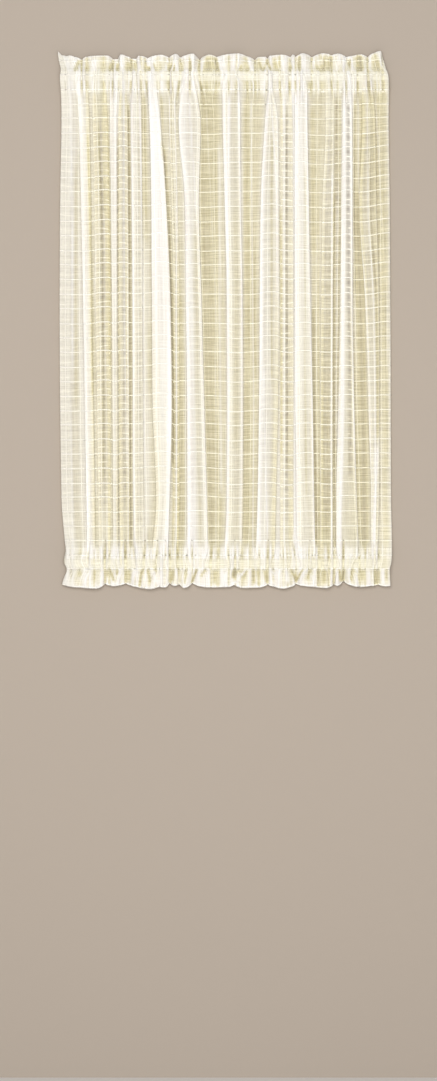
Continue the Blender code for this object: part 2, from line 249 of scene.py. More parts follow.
# X, and how far a heading's edge reaches past the middle of its rod there.
TOP_EDGE = np.array((
    (-318, 47), (-310, 40), (-299, 38), (-294, 39.5), (-285, 36.5), (-271, 31.5), (-261, 37),
    (-240, 38.5), (-223, 39), (-212, 32.5), (-202, 33), (-197, 40.5), (-187, 38), (-177, 33.5),
    (-167, 33), (-163, 38.5), (-155, 38), (-146, 33.5), (-135, 38), (-122, 40.5), (-105, 35.5), (-92, 42),
    (-84, 35), (-74, 39), (-61, 42), (-47.5, 30.5), (-38, 38), (-29, 41), (-15, 36.5), (0, 40),
    (26, 42.5), (42, 38), (58.5, 30), (62, 36), (77, 37), (81.5, 33), (86, 38.5), (109, 40.5),
    (125, 36.5), (130, 40.5), (135, 36.5), (151, 43), (166, 36), (186, 43), (204, 40), (215, 42.5),
    (231, 36.5), (245, 39), (258.5, 41), (272, 36.5), (284, 43.5), (296, 47), (300, 40),
))
LOW_EDGE = np.array((
    (-310, 39), (-300, 42), (-275, 45), (-244, 47), (-227, 38), (-210, 42.5), (-187.5, 37), (-178, 41),
    (-166, 44), (-141.5, 48), (-124.5, 43.5), (-113, 45), (-104.7, 36.5), (-95, 42), (-84.5, 39),
    (-77, 46), (-61, 36), (-45, 43), (-28, 45), (8.5, 44), (17, 39.5), (37, 46), (64.5, 45), (82.5, 39.5),
    (96, 44), (110.5, 47), (125, 44), (136, 38), (150, 42), (173, 44), (193.5, 46), (208, 38.5),
    (214, 42), (226, 31), (238, 40), (257.5, 44), (278, 42), (292.5, 39.5), (305, 43), (316, 42),
))


class Station(NamedTuple):
    """One station of the cloth's way along its cut length, or all its rows as an array in each field.

    height is Z, base the Y of the folds' base, depth how far full folds stand out from it, tuck_share
    the share of their tucks, layer the side of the pocket, scale how far the row is narrowed, heading
    is 1 at the top heading's edge and -1 at the bottom one's, where the edge's reach is added to the
    height, and step the spacing of the rows up to the next station.
    """

    height: float
    base: float
    depth: float
    tuck_share: float
    layer: Layer
    scale: float
    heading: float
    step: float


# A pocket's stations, from the turned hem inside it to the body, with their heights past the rod's middle.
POCKET_STATIONS = tuple(Station(*row) for row in (
    (-21, -12.6, 2.6, 0.4, Layer.BACK, 0.975, 0, 6), (-26, -12.8, 2.8, 0.4, Layer.BACK, 0.975, 0, 4),
    (-31.5, -12.6, 3, 0.4, Layer.BACK, 0.975, 0, 2), (-31.5, -10.4, 3.2, 0.4, Layer.BACK, 0.975, 0, 4),
    (-22, -8.6, 3.6, 0.35, Layer.BACK, 0.965, 0, 9), (-11, -6.9, 3.6, 0.3, Layer.BACK, 0.955, 0, 9),
    (11, -6.9, 3.4, 0.25, Layer.BACK, 0.955, 0, 9), (17, -9, 3, 0.2, Layer.BACK, 0.965, 0, 7),
    (25, -10.6, 3, 0.15, Layer.BACK, 0.98, 0, 5), (0, -11.6, 3, 0.1, Layer.TURN, 0.99, 1, 1.5),
    (0, -13.4, 3, 0.1, Layer.TURN, 1, 1, 1.5), (25, -14.4, 3, 0.15, Layer.FRONT, 1, 0, 3.2),
    (15, -15.2, 3, 0.2, Layer.FRONT, 1, 0, 3.2), (10.5, -18.1, 3.2, 0.28, Layer.FRONT, 1, 0, 3.2),
    (-11, -18.1, 3.8, 0.36, Layer.FRONT, 1, 0, 3.4), (-22, -16.6, 4.8, 0.45, Layer.FRONT, 1, 0, 3.4),
    (-31, -14, 6.8, 0.6, Layer.FRONT, 1, 0, 4.5),
))

# The body's stations: height, base, depth, tuck_share and step.
BODY_STATIONS = tuple(Station(*row[:4], Layer.FRONT, 1, 0, row[4]) for row in (
    (-46, -9.4, 10.5, 0.8, 7), (-85, -6.8, 14.5, 1, 12), (-160, -6.2, 15.5, 1, 17),
    (-300, -5.6, 16.5, 1, 20), (-430, -5.4, 17, 1, 20), (-615, -5.6, 16.5, 1, 20),
    (-770, -6, 15.5, 1, 15), (-846, -6.8, 14.5, 1, 10), (-882, -9.4, 10.5, 0.8, 6),
))


class Crease(NamedTuple):
    """One gather crease at a pocket: a soft ridge, or a trough where its height is negative.

    across is its X at the rod's middle, slant its sideways run for each millimetre away from the
    heading, width its half width, height how far it stands out and length how far it runs into the body.
    """

    across: float
    slant: float
    width: float
    height: float
    length: float


TOP_CREASES = tuple(Crease(*row) for row in (
    (-292, -0.02, 5, 1.6, 45), (-271, 0.03, 3.5, -2.2, 40), (-246, 0, 6, 1.2, 30),
    (-212, -0.03, 3.5, -2, 60), (-193, 0.05, 4, 1.8, 50), (-177, -0.04, 3.2, -2.4, 55),
    (-167, 0.04, 3, -1.8, 40), (-150, 0.1, 3.6, -2.6, 60), (-139, -0.12, 3.4, 1.8, 70),
    (-118, 0.05, 3.4, 1.6, 40), (-105, -0.03, 3.2, -2.2, 30), (-84, -0.14, 3.4, -2.4, 80),
    (-75, -0.16, 3, 1.6, 90), (-66, 0.02, 3, -1.6, 90), (-58, 0.12, 3.2, 1.6, 80),
    (-48, 0.16, 3.4, -2.6, 70), (-16, 0.02, 3.6, -1.8, 45), (-3, 0.05, 3.4, 1.8, 60),
    (26, 0.02, 4, 1.6, 50), (42, 0.04, 3.8, -1.6, 40), (58, 0.02, 3.4, -2.6, 45), (70, -0.02, 4, 1.4, 30),
    (82, -0.06, 3, -2.2, 60), (90, -0.05, 3, 1.6, 70), (104, 0.04, 3.2, -1.6, 50),
    (125, -0.02, 3, -2, 40), (135, 0.02, 3, -2.2, 50), (147, 0.02, 5, 1.8, 60),
    (166, -0.03, 3.4, -2.4, 45), (178, 0.02, 3, 1.2, 30), (204, 0.03, 3.2, -1.6, 45),
    (231, 0.02, 3.2, -2.6, 50), (240, 0.04, 3, 1.4, 60), (252, 0.05, 3, -1.6, 60),
    (264, 0.02, 3.2, 1.6, 50), (272, 0.08, 3.4, -2.2, 60), (288, 0.05, 3.4, 1.4, 50),
    (300, 0.06, 3.2, -1.4, 40),
))
LOW_CREASES = tuple(Crease(*row) for row in (
    (-292, 0.02, 5, 1.4, 40), (-262, 0, 5, -1.2, 35), (-246, -0.02, 4, 1.4, 40),
    (-227, 0.02, 3.4, -2.4, 50), (-214, 0.05, 3.2, 1.4, 70), (-200, -0.06, 3.2, 1.2, 80),
    (-187, -0.02, 3.4, -2.2, 45), (-168, 0.04, 3.6, 1.4, 35), (-152, 0.04, 3.2, -1.8, 55),
    (-141, -0.1, 3.2, 1.6, 75), (-130, 0.06, 3.2, -2.2, 60), (-122, 0.1, 3, 1.6, 60),
    (-113, 0.04, 3, -1.8, 45), (-104, -0.04, 3, -2.4, 50), (-88, -0.05, 3.2, -1.6, 40),
    (-76, 0.1, 3.2, 1.6, 50), (-61, -0.02, 3.4, -2.6, 60), (-50, -0.1, 3, 1.4, 65),
    (-40, 0.1, 3, 1.4, 55), (-27, 0.06, 3.4, -1.6, 35), (2, -0.1, 3.4, 1.6, 40), (15, 0.16, 3.4, 2, 45),
    (20, 0, 3, -2.2, 45), (40, 0.03, 4, 1.2, 30), (58, -0.1, 3.2, 1.4, 45), (82, 0.02, 3.4, -2.4, 50),
    (96, 0.04, 3.2, 1.4, 40), (112, 0, 4, -1.2, 30), (136, -0.12, 3.4, -2.4, 60),
    (146, -0.16, 3.2, 1.8, 80), (160, 0.04, 3.2, -1.6, 60), (174, 0.06, 3.4, 1.6, 55),
    (192, 0, 4, 1.2, 30), (208, 0.03, 3.2, -2.2, 40), (226, 0, 3.4, -2.8, 55), (240, 0.04, 3.4, 1.4, 50),
    (256, -0.05, 3.2, -1.6, 60), (270, 0.02, 3.4, 1.4, 60), (292, 0.05, 3.4, -1.8, 50),
))

# In the headings a crease's across is its X at the rod's edge, its slant is for each millimetre out
# from there, and its length is how far out it runs.
TOP_RUFFLES = tuple(Crease(*row) for row in (
    (-296, -0.25, 3, 1.6, 24), (-285, 0.4, 4, -2.2, 20), (-288, 0.25, 2.2, 1.8, 22),
    (-262, 0, 2.4, -1.2, 5), (-248, 0.1, 5, 1.2, 20), (-217, 0.3, 4, -1.8, 20), (-204, 0.1, 3, -1.8, 12),
    (-196, -0.1, 2.6, 1.8, 26), (-181, 0.12, 5.5, -1.4, 24), (-171, 0.05, 3, -1.6, 20),
    (-159, -0.25, 3, 2.2, 26), (-143, 0, 2, -3, 6), (-134, -0.35, 2, 1.6, 16),
    (-130, -0.3, 1.8, -1.4, 12), (-121, 0.05, 2.2, -1.2, 14), (-112, 0.2, 2.4, 1.6, 20),
    (-105, 0.35, 2, -3, 10), (-101, 0.3, 1.8, 1.8, 18), (-97, 0.15, 2, -1.8, 16),
    (-90, -0.15, 3, 1.8, 26), (-79, 0.05, 3.2, -1.6, 20), (-65, 0.08, 2.2, -2.6, 18),
    (-58, -0.25, 3, 1.8, 26), (-44, 0.15, 4, 1.6, 24), (-30, 0, 4, -1.2, 20), (-13, -0.18, 1.9, -3, 22),
    (-7, -0.15, 2.6, 1.6, 24), (16, 0.05, 4, 1.4, 24), (31, -0.05, 2.4, -1.6, 10), (45, 0.2, 2.2, -1, 8),
    (52, -0.2, 4, 1.8, 24), (72, -0.35, 2, -1.8, 16), (74, 0.35, 2, -2, 18), (88, -0.32, 2.2, -2.4, 20),
    (81, 0.05, 2.4, 1.6, 14), (99, -0.2, 3, -1.4, 20), (112, 0.1, 3, 1.2, 22), (124, 0.3, 1.8, -2.4, 10),
    (131, -0.05, 2.6, 1.8, 26), (142, 0, 4, -2, 24), (155, -0.1, 3.4, 1.8, 26), (166, 0.15, 2.6, 1.6, 22),
    (178, -0.2, 1.8, -2, 8), (189, 0, 2.2, -2.2, 20), (199, 0.05, 4, -1.4, 22), (214, 0.1, 3, 1.4, 24),
    (226, 0.1, 2.4, 1.8, 22), (236, 0.1, 2, -3.2, 20), (243, -0.1, 2.6, 2, 24),
    (259, -0.05, 4.4, -2.4, 24), (272, 0.1, 3, 2, 26), (292, -0.3, 4, -1.6, 16),
    (303, -0.4, 2.6, 1.6, 24),
))
LOW_RUFFLES = tuple(Crease(*row) for row in (
    (-298, -0.25, 2.6, 1.8, 24), (-290, -0.1, 2, -2.4, 12), (-276, 0, 3, -1.4, 10),
    (-262, -0.1, 4, 1.2, 22), (-248, 0.05, 4, -1, 16), (-232, 0.05, 2.6, 1.8, 24),
    (-223, 0.05, 2.2, -1.6, 12), (-219, 0.42, 2.4, -2.6, 18), (-204, 0, 2.2, -2, 8),
    (-198, -0.1, 3, 1.6, 22), (-182, 0, 3, -1, 20), (-170, -0.2, 2.6, 1.8, 20), (-156, -0.2, 2, -2.6, 26),
    (-151, -0.1, 2.4, 2, 24), (-147, 0.25, 1.9, -2.4, 20), (-134, 0.2, 2.6, 1.6, 22),
    (-121, 0.05, 2.4, 1.8, 26), (-110, 0.1, 2.2, -1.2, 20), (-99, 0, 2.8, -1.6, 18),
    (-91, 0.1, 2.2, 1.8, 24), (-81, 0.05, 2.2, 1.4, 24), (-73, -0.14, 1.9, -2.6, 22),
    (-66, -0.25, 2.4, 1.8, 22), (-52, -0.38, 2, -3.4, 24), (-46, -0.3, 2.2, 1.8, 20),
    (-36, -0.55, 2.2, -2.4, 12), (-28, -0.05, 3, 1.8, 26), (-19, 0, 3, -1.2, 20), (-5, 0.05, 4, 1.4, 24),
    (19, -0.15, 3.2, -3.2, 14), (27, -0.6, 2.6, -1.8, 10), (43, -0.95, 2.2, 2.6, 26),
    (42, -0.25, 2.2, -2.2, 14), (49, -0.05, 2.4, 1.8, 24), (55, 0.05, 2.4, -2.2, 20),
    (64, 0, 3.4, -1.4, 24), (75, 0.2, 3.2, -2, 20), (87, 0.1, 3, 1.8, 24), (104, 0, 4, 1, 22),
    (118, 0.1, 3, 1.4, 20), (126, 0.42, 2, -2.8, 20), (132, 0.2, 1.8, -1.6, 16),
    (149, -0.55, 2.2, -2.8, 18), (156, -0.6, 2.2, 2.4, 22), (164, -0.38, 2, -2.2, 16),
    (171, -0.1, 2.6, 1.8, 24), (177, 0.02, 1.8, -2.4, 24), (190, 0, 4, -1.2, 20), (203, 0, 2.2, 1.8, 26),
    (207, 0.02, 1.8, -2.4, 26), (213, 0.05, 2, 1.6, 24), (218, 0.1, 2.6, -2.2, 20),
    (228, -0.15, 2.2, -2, 22), (235, 0.1, 2.6, 1.4, 22), (243, -0.14, 1.9, -2.8, 18),
    (250, 0.1, 3, 1.8, 24), (262, 0, 3, -1.4, 16), (272, 0.1, 3, 1.8, 24), (288, 0.03, 4.4, -2.6, 26),
    (300, 0.05, 3.4, 1.6, 24), (308, 0, 1.8, -1.6, 16),
))


class PocketTone(NamedTuple):
    """How white one pocket is: all over, over the rod, by its gathers in the heading, and how much
    darker the heading is beside the rod."""

    pocket: float
    over_rod: float
    # Painted light on the gathers' ridges and painted shade in their troughs.
    contrast: float
    # Painted shade over the heading beside the rod.
    near_rod: float


TOP_TONE = PocketTone(0.08, 0.34, 0.22, 0.14)
LOW_TONE = PocketTone(0.22, 0.12, 0.16, 0.1)


# --- curves ---------------------------------------------------------------------------------------


class Step(NamedTuple):
    """A smooth step from 0 to 1 that begins at a value and takes a run of millimetres."""

    begin: float
    run: float

    def at(self, value: Array) -> Array:
        """How far the step has gone at a value: 3v^2 - 2v^3, with v the share of the run."""
        held = np.clip((value - self.begin) / self.run, 0.0, 1.0)
        return held * held * (3 - 2 * held)


def bell(away: Array) -> Array:
    """A Gaussian: 1 in the middle and 1/e at 1 away."""
    return np.exp(-(away**2))


def smooth_reading(at: Array, places: Array, values: Array) -> Array:
    """Reads a table with a monotone cubic, so that it passes through every value with no overshoot.

    Between two places the value is a Hermite cubic. Its slope at a place is the weighted harmonic mean
    of the two chords there, and none where the chords differ in sign.

    Args:
        at: Where to read, any shape; it is held within the table.
        places: Rising places of the table.
        values: The table's values, one row for each place.

    Returns:
        The values read, with the shape of `at` and then that of one row.
    """
    gap = np.diff(places)
    values = np.asarray(values, float)
    tail = (1,) * (values.ndim - 1)
    wide = gap.reshape((-1,) + tail)
    chord = np.diff(values, axis=0) / wide
    before, after = chord[:-1], chord[1:]
    near, far = 2 * wide[1:] + wide[:-1], wide[1:] + 2 * wide[:-1]
    same = before * after > 0
    safe_before = np.where(same, before, 1.0)
    safe_after = np.where(same, after, 1.0)
    inner = np.where(same, (near + far) / (near / safe_before + far / safe_after), 0.0)
    slope = np.concatenate([chord[:1], inner, chord[-1:]])
    held = np.clip(at, places[0], places[-1])
    span = np.clip(np.searchsorted(places, held, side="right") - 1, 0, len(gap) - 1)
    part = ((held - places[span]) / gap[span]).reshape(held.shape + tail)
    width = gap[span].reshape(held.shape + tail)
    start, end = values[span], values[span + 1]
    square, cube = part**2, part**3
    return (
        start * (2 * cube - 3 * square + 1)
        + end * (3 * square - 2 * cube)
        + width * slope[span] * (cube - 2 * square + part)
        + width * slope[span + 1] * (cube - square)
    )


def blend_weights(per_span: Array) -> Array:
    """The weights of a quadratic B-spline, one row for each sample and one column for each control point.

    Span i runs between the middles of its control points' two sides. At the share t of a span the three
    points i, i+1 and i+2 weigh (1-t)^2/2, (1+2t-2t^2)/2 and t^2/2.

    Args:
        per_span: How many samples each span takes; there are two spans fewer than control points.

    Returns:
        The matrix of weights.
    """
    span = np.repeat(np.arange(len(per_span)), per_span)
    starts = np.cumsum(per_span) - per_span
    share = (np.arange(len(span)) - starts[span]) / per_span[span]
    span = np.append(span, len(per_span) - 1)
    share = np.append(share, 1.0)
    weights = np.zeros((len(span), len(per_span) + 2))
    row = np.arange(len(span))
    weights[row, span] = (1 - share) ** 2 / 2
    weights[row, span + 1] = (1 + 2 * share - 2 * share**2) / 2
    weights[row, span + 2] = share**2 / 2
    return weights


def lobed_reading(at: Array, outline: Array, power: float = 0.8) -> Array:
    """Reads a heading's outline so that its high places are round lobes and its low ones sharp notches.

    Between two places the value rises from the lower to the higher one as the sine of a quarter turn,
    to a power, of the share gone.

    Args:
        at: Where to read, any shape.
        outline: The outline's rows, X and reach.
        power: How round the lobes are.

    Returns:
        The reach at each place.
    """
    across, reach = outline.T
    span = np.clip(np.searchsorted(across, at, side="right") - 1, 0, len(across) - 2)
    share = np.clip((at - across[span]) / (across[span + 1] - across[span]), 0.0, 1.0)
    start, end = reach[span], reach[span + 1]
    rising = start + (end - start) * np.sin(share * math.pi / 2) ** power
    falling = end + (start - end) * np.sin((1 - share) * math.pi / 2) ** power
    return np.where(end > start, rising, falling)


def path_length(points: Array) -> Array:
    """The running length along a line of points, from 0 at its start."""
    steps = np.linalg.norm(np.diff(points, axis=0), axis=1)
    return np.concatenate([[0.0], np.cumsum(steps)])


# --- the cloth's shape ----------------------------------------------------------------------------


class Columns(NamedTuple):
    """The control points across the cloth: x, y and tone for each row, and values for each point."""

    x: Array
    y: Array
    tone: Array
    veil: Array
    sag: Array
    samples: Array


@dataclass(frozen=True)
class FoldSection:
    """The section of a fold, in shares of how far it stands out and of its width."""

    under: float = 0.76
    edge: float = 0.95
    shoulder: float = 0.24
    crest_rise: float = 0.4
    crest_veil: float = 0.6
    least_front: float = 3.5
    # Painted light along a fold's turned edges over the shade on their sideways faces; it also stands for
    # cloth looking denser edge-on.
    edge_tone: float = 0.15


@dataclass(frozen=True)
class SideHem:
    """A side hem: how it lies at its eight control points, from the cloth's wrong side to its right one.

    The insets are shares of its width. Each side's tones are those at the top and at the bottom; as in
    the folds, a tone below 0 is painted shade.
    """

    width: float = 20.0
    layer: float = 1.3
    rise: float = 0.16
    ridge: float = 0.5
    veil: float = 0.08
    samples: float = 3.0
    insets: tuple = (1.0, 1.0, 0.6, 0.0, 0.0, 0.4, 0.85, 1.2)
    left_tone: tuple = ((0.35, 0.35, 0.35, 0.7, 0.7, 0.35, 0.7, 0.65),
                        (0.25, 0.25, 0.25, 0.6, 0.6, 0.25, 0.55, 0.15))
    right_tone: tuple = ((-0.5, -0.5, -0.4, 0.4, 0.4, -0.3, -0.15, 0.0),
                         (-0.1, -0.1, -0.1, 0.5, 0.5, 0.1, 0.3, 0.45))


@dataclass(frozen=True)
class Lift:
    """How the weft lies off level: it is drawn up at the right-hand edge, dips beside that, and waves.

    A wave is its rise and its lengths across and down.
    """

    rise: float = 5.5
    right: Step = Step(250.0, 60.0)
    least: float = 0.35
    upwards: Step = Step(-700.0, 600.0)
    dip: float = 2.2
    dip_in: Step = Step(80.0, 60.0)
    dip_out: Step = Step(-250.0, 60.0)
    waves: tuple = ((1.6, 47.0, 310.0), (0.8, 17.0, -190.0))

    def at(self, x: Array, z: Array) -> Array:
        """How far the weft is lifted.

        Args:
            x: X of the points.
            z: Their heights.

        Returns:
            The lift of each point.
        """
        lift = self.rise * self.right.at(x) * (self.least + (1 - self.least) * self.upwards.at(z))
        lift = lift - self.dip * self.dip_in.at(x) * self.dip_out.at(-x)
        for rise, across, down in self.waves:
            lift = lift + rise * np.sin(x / across + z / down)
        return lift


@dataclass(frozen=True)
class Gathers:
    """How creases and the headings' ruffle move the cloth at the pockets."""

    rise: float = 1.5
    back_rise: float = 0.5
    pinch: float = 0.45
    heading_start: float = 9.0
    into_body: float = 24.0
    into_heading: Step = Step(0.0, 4.0)
    heading_loss: float = 0.6
    trough: float = 0.55
    trough_depth: float = 1.5
    lip: float = 1.3
    lip_height: float = 0.6
    ruffle_start: Step = Step(7.5, 3.0)
    ruffle_end: float = 6.0
    rim: Step = Step(10.0, 22.0)
    rim_wave: float = 0.9
    rim_span: int = 3
    fine_count: int = 84
    fine_ends: tuple = (-305.0, 308.0)
    fine_shift: float = 4.0
    fine_slant: float = 0.06
    fine_width: tuple = (2.2, 3.4)
    fine_height: float = 1.1
    fine_share: tuple = (0.5, 1.3)
    fine_length: tuple = (12.0, 48.0)

    def fine(self, rng: np.random.Generator) -> tuple:
        """Makes small creases between the main ones, ridges and troughs in turn.

        Args:
            rng: The source of their sizes.

        Returns:
            The creases.
        """
        count = self.fine_count
        shift = rng.uniform(-self.fine_shift, self.fine_shift, count)
        across = np.linspace(*self.fine_ends, count) + shift
        slant = rng.uniform(-self.fine_slant, self.fine_slant, count)
        width = rng.uniform(*self.fine_width, count)
        sign = np.where(np.arange(count) % 2, 1.0, -1.0)
        height = self.fine_height * rng.uniform(*self.fine_share, count) * sign
        length = rng.uniform(*self.fine_length, count)
        return tuple(Crease(*row) for row in np.stack([across, slant, width, height, length], axis=-1))


@dataclass(frozen=True)
class Wrinkles:
    """Small long wrinkles on the folds. A wave is a length across the cut and a rise."""

    waves: tuple = ((7.3, 0.22), (10.9, 0.32), (17.7, 0.45), (31.0, 0.6))
    cut_width: float = 1290.0
    drift: float = 0.35
    drift_run: tuple = (90.0, 160.0)
    drift_start: tuple = (0.0, 6.0)
    swell: float = 0.4
    swell_run: tuple = (60.0, 130.0)
    swell_across: float = 97.0

    def at(self, height: Array, columns: int, rng: np.random.Generator) -> Array:
        """Sine waves across the cut, each drifting slowly sideways down the cloth and coming and going
        along it, both by slow sines of the height.

        Args:
            height: The rows' heights, as one column.
            columns: How many points a row has.
            rng: The source of the waves' drift and swell.

        Returns:
            How far each point stands out.
        """
        across = np.linspace(0.0, self.cut_width, columns)[None, :]
        total = np.zeros((len(height), columns))
        for length, rise in self.waves:
            slow = height / rng.uniform(*self.drift_run) + rng.uniform(*self.drift_start)
            drift = self.drift * length * np.sin(slow)
            coming = np.sin(height / rng.uniform(*self.swell_run) + across / self.swell_across)
            swell = 1 - self.swell + self.swell * coming
            total = total + rise * swell * np.sin(2 * math.pi * (across + drift) / length)
        return total


@dataclass(frozen=True)
class Whiteness:
    """How white the cloth is at its pockets and headings, by how far it is from a rod's middle."""

    half_way: float = -400.0
    pocket: Step = Step(16.0, 34.0)
    rod: Step = Step(-11.0, 3.0)
    rod_end: Step = Step(-10.0, 3.0)
    hem: Step = Step(23.0, 2.0)
    hem_end: Step = Step(-33.0, 2.0)
    heading: Step = Step(8.0, 3.0)
    # Where painted shade falls in the heading beside the rod.
    near_rod: Step = Step(-24.0, 14.0)
    evened: float = 0.3
    turned_hem: float = 0.12
    gathers: float = 0.34
    gathers_on_rod: float = 0.5
    rod_cover: float = 0.4
    heading_shade: float = 0.05
    rim: float = 0.9
    rim_power: int = 6

    def at(self, shape: "HungCloth", across: Array, gathers: Array) -> Array:
        """How white each point is.

        In the body it is its fold's tone. In the pockets that is evened out and gathers count: white
        where they stand out, partly as painted light, and painted shade where they lie in. Over the rods
        and where the hem is turned under the cloth is whiter. In the headings painted shade darkens it
        near the rod, and it is white at the very rim.

        Args:
            shape: The cloth.
            across: The tone of folds and streaks.
            gathers: How far the creases stand out.

        Returns:
            The tone, from -1 to 1.
        """
        height = shape.spine[:, None]
        upper = height > self.half_way
        ground, on_rod, contrast, shade = (np.where(upper, *pair) for pair in zip(TOP_TONE, LOW_TONE))
        pocket = 1.0 - self.pocket.at(-height) * self.pocket.at(height + shape.rod_drop)
        past = np.where(upper, height, -shape.rod_drop - height)
        over_rod = self.rod.at(past) * self.rod_end.at(-past)
        turned_hem = self.hem.at(-past) * self.hem_end.at(past)
        heading = self.heading.at(past)
        near_rod = heading * self.near_rod.at(-past)
        tone = across * (1 - self.evened * pocket) + self.turned_hem * turned_hem
        tone = tone + ground * pocket
        gathered = self.gathers * pocket * (1 - self.gathers_on_rod * over_rod)
        # Painted light on the gathers' ridges and painted shade in their troughs.
        tone = tone + gathers * (gathered + contrast * heading)
        tone = tone * (1 - self.rod_cover * over_rod) + on_rod * over_rod
        rim = self.rim * np.abs(shape.rows.heading[:, None]) ** self.rim_power
        # Painted shade over the headings and next to the rods; the rim is whiter.
        tone = tone - self.heading_shade * heading - near_rod * shade + rim
        return np.clip(tone, -1.0, 1.0)


@dataclass
class HungCloth:
    """The shape of the cloth as it hangs: a grid of points with its rows along the cut length."""

    rod_drop: float = 926.5
    door_gap: float = 1.5
    waist_height: float = -430.0
    mean_reach: float = 38.0
    rod_taper: float = 0.42
    taper_reach: float = 17.0
    taper_middle: float = 4.0
    wave_depth: float = 14.5
    streak_rise: float = 0.5
    streak_ends: float = 30.0
    sample_gap: float = 1.7
    rod_front: float = -17.5
    rod_back: float = -11.5
    rod_half: float = 10.0
    turn_limit: float = 0.9
    cord_drop: float = 25.7
    body_top: Step = Step(40.0, 90.0)
    body_foot: Step = Step(45.0, 110.0)
    downwards: Step = Step(60.0, 800.0)
    section: FoldSection = FoldSection()
    side_hem: SideHem = SideHem()
    lift: Lift = Lift()
    gathers: Gathers = Gathers()
    wrinkles: Wrinkles = Wrinkles()
    whiteness: Whiteness = Whiteness()

    def __post_init__(self) -> None:
        """Works out the grid, the cloth's own coordinates, and how white and clear each point is."""
        self.rows = self._rows()
        self.front = self.rows.layer < FRONT_LIMIT
        self.spine = self.rows.height + self.rows.heading * self.mean_reach
        self.body = self.body_top.at(-self.spine) * self.body_foot.at(self.spine + self.rod_drop)
        self.body = (self.body * self.front)[:, None]
        columns = self._columns()
        weights = blend_weights(columns.samples)
        x, y, gathers = self._gathered(columns.x @ weights.T, columns.y @ weights.T)
        z = self._heights(x, weights @ columns.sag)
        streaks, clearings = self._streaked(x)
        y = np.minimum(y - self.streak_rise * streaks, -self.door_gap)
        self.points = np.stack([x, y, z], axis=-1)
        self.tone = self.whiteness.at(self, columns.tone @ weights.T + streaks, gathers)
        self.veil = self.body * (weights @ columns.veil) + clearings
        hemmed = np.zeros(len(columns.veil))
        # All layers of the left hem, and of the right one as far as its side edge.
        hemmed[:7] = hemmed[-5:] = 1.0
        self.hem = np.broadcast_to(weights @ hemmed, x.shape)
        from_waist = np.abs(self.rows.height - self.waist_height)
        self.waist = int(np.argmin(np.where(self.front, from_waist, np.inf)))
        self.across = path_length(self.points[self.waist, :, :2])
        self.along = path_length(np.stack([self.spine, self.rows.base], axis=-1))
        self.flat_width = float(self.across[-1])
        self.flat_length = float(self.along[-1])
        drop = -self.rows.height[self.front]
        self.first_cord = float(np.interp(self.cord_drop, drop, self.along[self.front]))

    def _rows(self) -> Station:
        """Samples the stations along the cut length with the quadratic B-spline.

        The bottom pocket is the top one upside down and read backwards.

        Returns:
            The rows, from the top pocket's hem to the bottom one's.
        """
        low = [
            station._replace(height=-self.rod_drop - station.height, heading=-station.heading)
            for station in reversed(POCKET_STATIONS)
        ]
        stations = [*POCKET_STATIONS, *BODY_STATIONS, *low]
        table = np.array(stations, float)
        listed = Station(*table.T)
        spine = np.stack([listed.height + listed.heading * self.mean_reach, listed.base], axis=-1)
        middles = (spine[1:] + spine[:-1]) / 2
        lengths = np.linalg.norm(np.diff(middles, axis=0), axis=1)
        per_span = np.maximum(2, np.round(lengths / listed.step[1:-1])).astype(int)
        return Station(*(blend_weights(per_span) @ table).T)

    def _columns(self) -> Columns:
        """Puts the control points of hems, folds and gaps in order across the cloth.

        The folds keep their place between the side edges, and close up a little towards the rods by a
        Gaussian of the distance.

        Returns:
            The control points of every row.
        """
        height = self.spine
        rising, sides = EDGES[:, 0], EDGES[:, 1:]
        edges = smooth_reading(height, rising, sides)
        held = np.clip(height, LEVELS[-1], LEVELS[0])
        drawn = edges / smooth_reading(held, rising, sides)
        table = np.array([(fold.left, fold.right) for fold in FOLDS], float)
        read = smooth_reading(held, np.array(LEVELS)[::-1], table.transpose(2, 0, 1)[::-1])
        read = read * np.where(read < 0, drawn[:, None, :1], drawn[:, None, 1:])
        from_rod = np.minimum(np.abs(height - self.taper_middle),
                              np.abs(height + self.rod_drop + self.taper_middle))
        taper = self.rod_taper * bell(from_rod / self.taper_reach)[:, None, None]
        read = read * (1 - taper) + read.mean(axis=2, keepdims=True) * taper
        left, right = read[..., 0].T, read[..., 1].T
        blocks = [self._hem_block(edges[:, 0], -1.0)]
        for index, fold in enumerate(FOLDS):
            if index > 0:
                blocks.append(self._gap_block(right[index - 1], left[index], FOLDS[index - 1]))
            blocks.append(self._fold_block(fold, left[index], right[index]))
        blocks.append(self._hem_block(edges[:, 1], 1.0))
        joined = Columns(*(np.concatenate(part, axis=-1) for part in zip(*blocks)))
        narrowed = joined.x * self.rows.scale[:, None]
        return joined._replace(x=narrowed, samples=joined.samples[1:-1].astype(int))

    def _fading(self, top: tuple, foot: tuple) -> Array:
        """Values that go from `top` to `foot` down the body, one row for each row of the cloth."""
        down = self.downwards.at(-self.spine[:, None])
        return np.asarray(top) * (1 - down) + np.asarray(foot) * down

